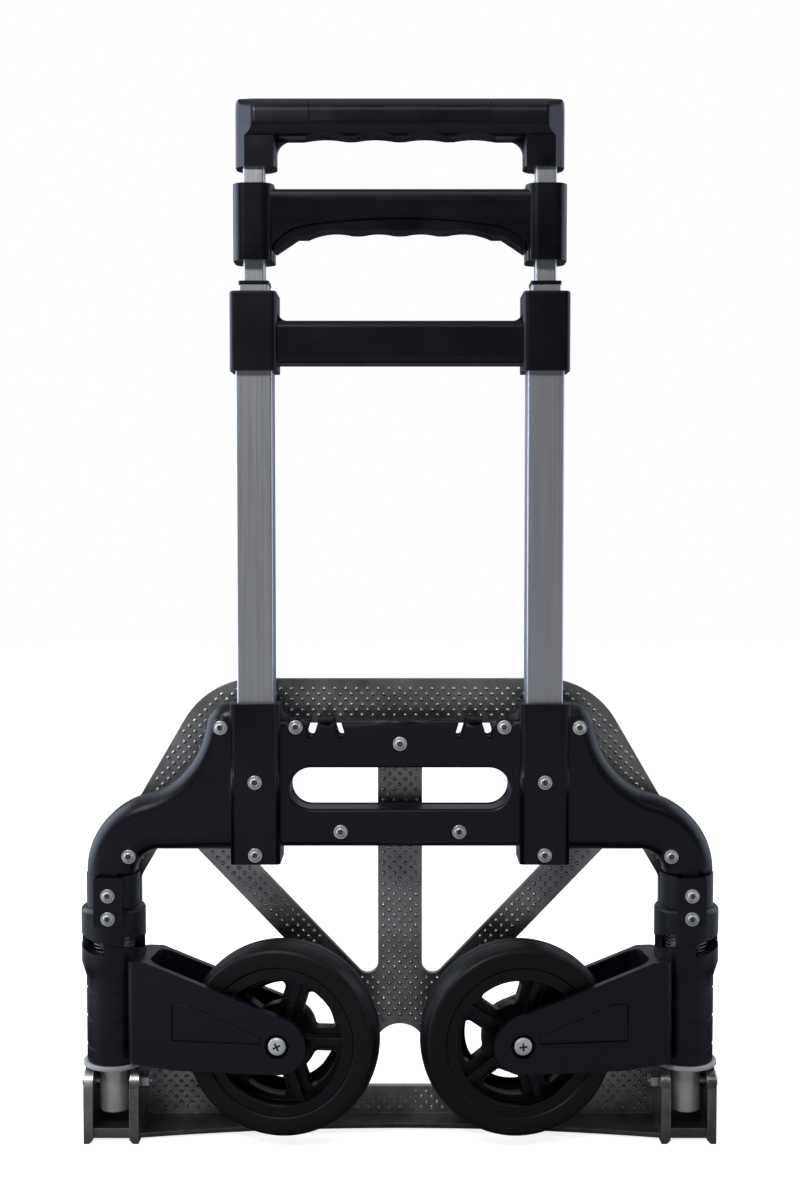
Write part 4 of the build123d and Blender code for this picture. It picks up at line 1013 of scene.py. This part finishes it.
paleFloor = {
    "size": 8.0, "cells": 8, "glow": 0.85, "rough": 0.8, "grain": 3.0, "grainDetail": 3.0,
    "grainRange": (0.3, 0.7), "tone": (0.84, 0.88),
    "nearY": (-0.06, 0.02), "near": (0.33, 0.01), "behindStart": (0.1, 0.4), "behindEnd": (2.2, 1.4),
    "behind": 0.4, "besideX": (0.35, 0.7), "beside": 0.4,
}
studioRoom = {
    "depthY": (-0.2, 0.6), "depth": (0.02, 0.5), "riseZ": (-0.05, 0.25), "tint": grey(1.0, (0.86, 0.9, 1.0)),
}
blue, cool, warm = (0.72, 0.83, 1.0), (0.93, 0.96, 1.0), (1.0, 0.99, 0.97)
softboxes = {
    # name: (place, aim, size, power, colour)
    "sideLeft": ((-1.5, 0.25, 0.6), (0, 0, 0.33), (1.6, 2.0), 34.0, blue),
    "sideRight": ((1.5, 0.25, 0.6), (0, 0, 0.33), (1.6, 2.0), 15.0, blue),
    "overhead": ((0, -0.2, 1.8), (0, 0, 0.3), (1.6, 0.8), 2.5, warm),
    "key": ((-0.7, -1.3, 1.5), (0, 0, 0.2), (0.35, 0.35), 10.0, warm),
    "highCard": ((0, -1.6, 1.7), (0, 0, 0.55), (2.4, 0.3), 5.5, warm),
    "frontCard": ((0, -2.2, 0.3), (0, 0, 0.3), (2.0, 0.8), 0.4, cool),
    "footCard": ((0, -1.3, 0.12), (0, 0, 0.05), (1.4, 0.2), 0.2, warm),
}
photoCamera = {"place": (0.0, -0.96525, 0.397), "pitch": -3.0, "lens": 45.81, "sensor": 36.0, "clip": 0.01}


def buildFloor(look):
    bm = bmesh.new()
    bmesh.ops.create_grid(bm, x_segments=look["cells"], y_segments=look["cells"], size=look["size"] / 2)
    mesh = bpy.data.meshes.new("floor")
    bm.to_mesh(mesh)
    bm.free()
    floor = bpy.data.objects.new("floor", mesh)
    scene.collection.objects.link(floor)
    finish, tree, shader, place = startFinish("paleFloor")
    # pale to the camera; the part sees it pale all round, with a painted shadow that leaves it dark close behind
    # its foot
    toCamera = addNode(tree, "ShaderNodeLightPath").outputs["Is Camera Ray"]
    tone = noise(tree, place, look["grain"], look["grainDetail"])
    tone = spread(tree, tone, *look["grainRange"], *look["tone"])
    parts = addNode(tree, "ShaderNodeSeparateXYZ", {0: place}).outputs
    near = spread(tree, parts["Y"], *look["nearY"], *look["near"])
    ramps = [spread(tree, parts["Y"], *look[key]) for key in ("behindStart", "behindEnd")]
    behind = calc(tree, "MULTIPLY", *ramps)
    beside = spread(tree, calc(tree, "ABSOLUTE", parts["X"]), *look["besideX"])
    paintedShadowFloor = calc(tree, "ADD", near, calc(tree, "MULTIPLY", behind, look["behind"]))
    paintedShadowFloor = calc(tree, "ADD", paintedShadowFloor, calc(tree, "MULTIPLY", beside, look["beside"]))
    tree.links.new(mixColour(tree, toCamera, paintedShadowFloor, tone), shader.inputs["Base Color"])
    shader.inputs["Roughness"].default_value = look["rough"]
    shader.inputs["Specular IOR Level"].default_value = 0.0
    shader.inputs["Emission Color"].default_value = grey(1.0)
    tree.links.new(calc(tree, "MULTIPLY", toCamera, look["glow"]), shader.inputs["Emission Strength"])
    mesh.materials.append(finish)


def buildWorld(look):
    world = bpy.data.worlds.new("studio")
    scene.world = world
    world.use_nodes = True
    tree = world.node_tree
    tree.nodes.clear()
    way = addNode(tree, "ShaderNodeTexCoord").outputs["Generated"]
    parts = addNode(tree, "ShaderNodeSeparateXYZ", {0: way}).outputs
    depth = spread(tree, parts["Y"], *look["depthY"], *look["depth"])
    shade = calc(tree, "MULTIPLY", depth, spread(tree, parts["Z"], *look["riseZ"]))
    room = addNode(tree, "ShaderNodeBackground", {"Color": look["tint"], "Strength": shade})
    paper = addNode(tree, "ShaderNodeBackground", {"Color": grey(1.0), "Strength": 1.0})
    toCamera = addNode(tree, "ShaderNodeLightPath").outputs["Is Camera Ray"]
    mix = addNode(tree, "ShaderNodeMixShader", {0: toCamera, 1: room.outputs[0], 2: paper.outputs[0]})
    out = addNode(tree, "ShaderNodeOutputWorld")
    tree.links.new(mix.outputs[0], out.inputs["Surface"])


def addSoftbox(name, place, aim, size, power, colour):
    light = bpy.data.lights.new(name, "AREA")
    light.shape = "RECTANGLE"
    light.size, light.size_y = size
    light.energy = power
    light.color = colour
    box = bpy.data.objects.new(name, light)
    box.location = place
    box.rotation_euler = (Vector(aim) - Vector(place)).to_track_quat("-Z", "Y").to_euler()
    box.visible_camera = False
    scene.collection.objects.link(box)


def buildCamera(look):
    camera = bpy.data.cameras.new("camera")
    camera.lens = look["lens"]
    camera.sensor_width = look["sensor"]
    camera.clip_start = look["clip"]
    obj = bpy.data.objects.new("camera", camera)
    obj.location = look["place"]
    obj.rotation_euler = (math.radians(90 + look["pitch"]), 0, 0)
    scene.collection.objects.link(obj)
    scene.camera = obj


buildFloor(paleFloor)
buildWorld(studioRoom)
for name, setting in softboxes.items():
    addSoftbox(name, *setting)
buildCamera(photoCamera)
scene.view_settings.view_transform = "Standard"
scene.view_settings.look = "None"
print("studio built")
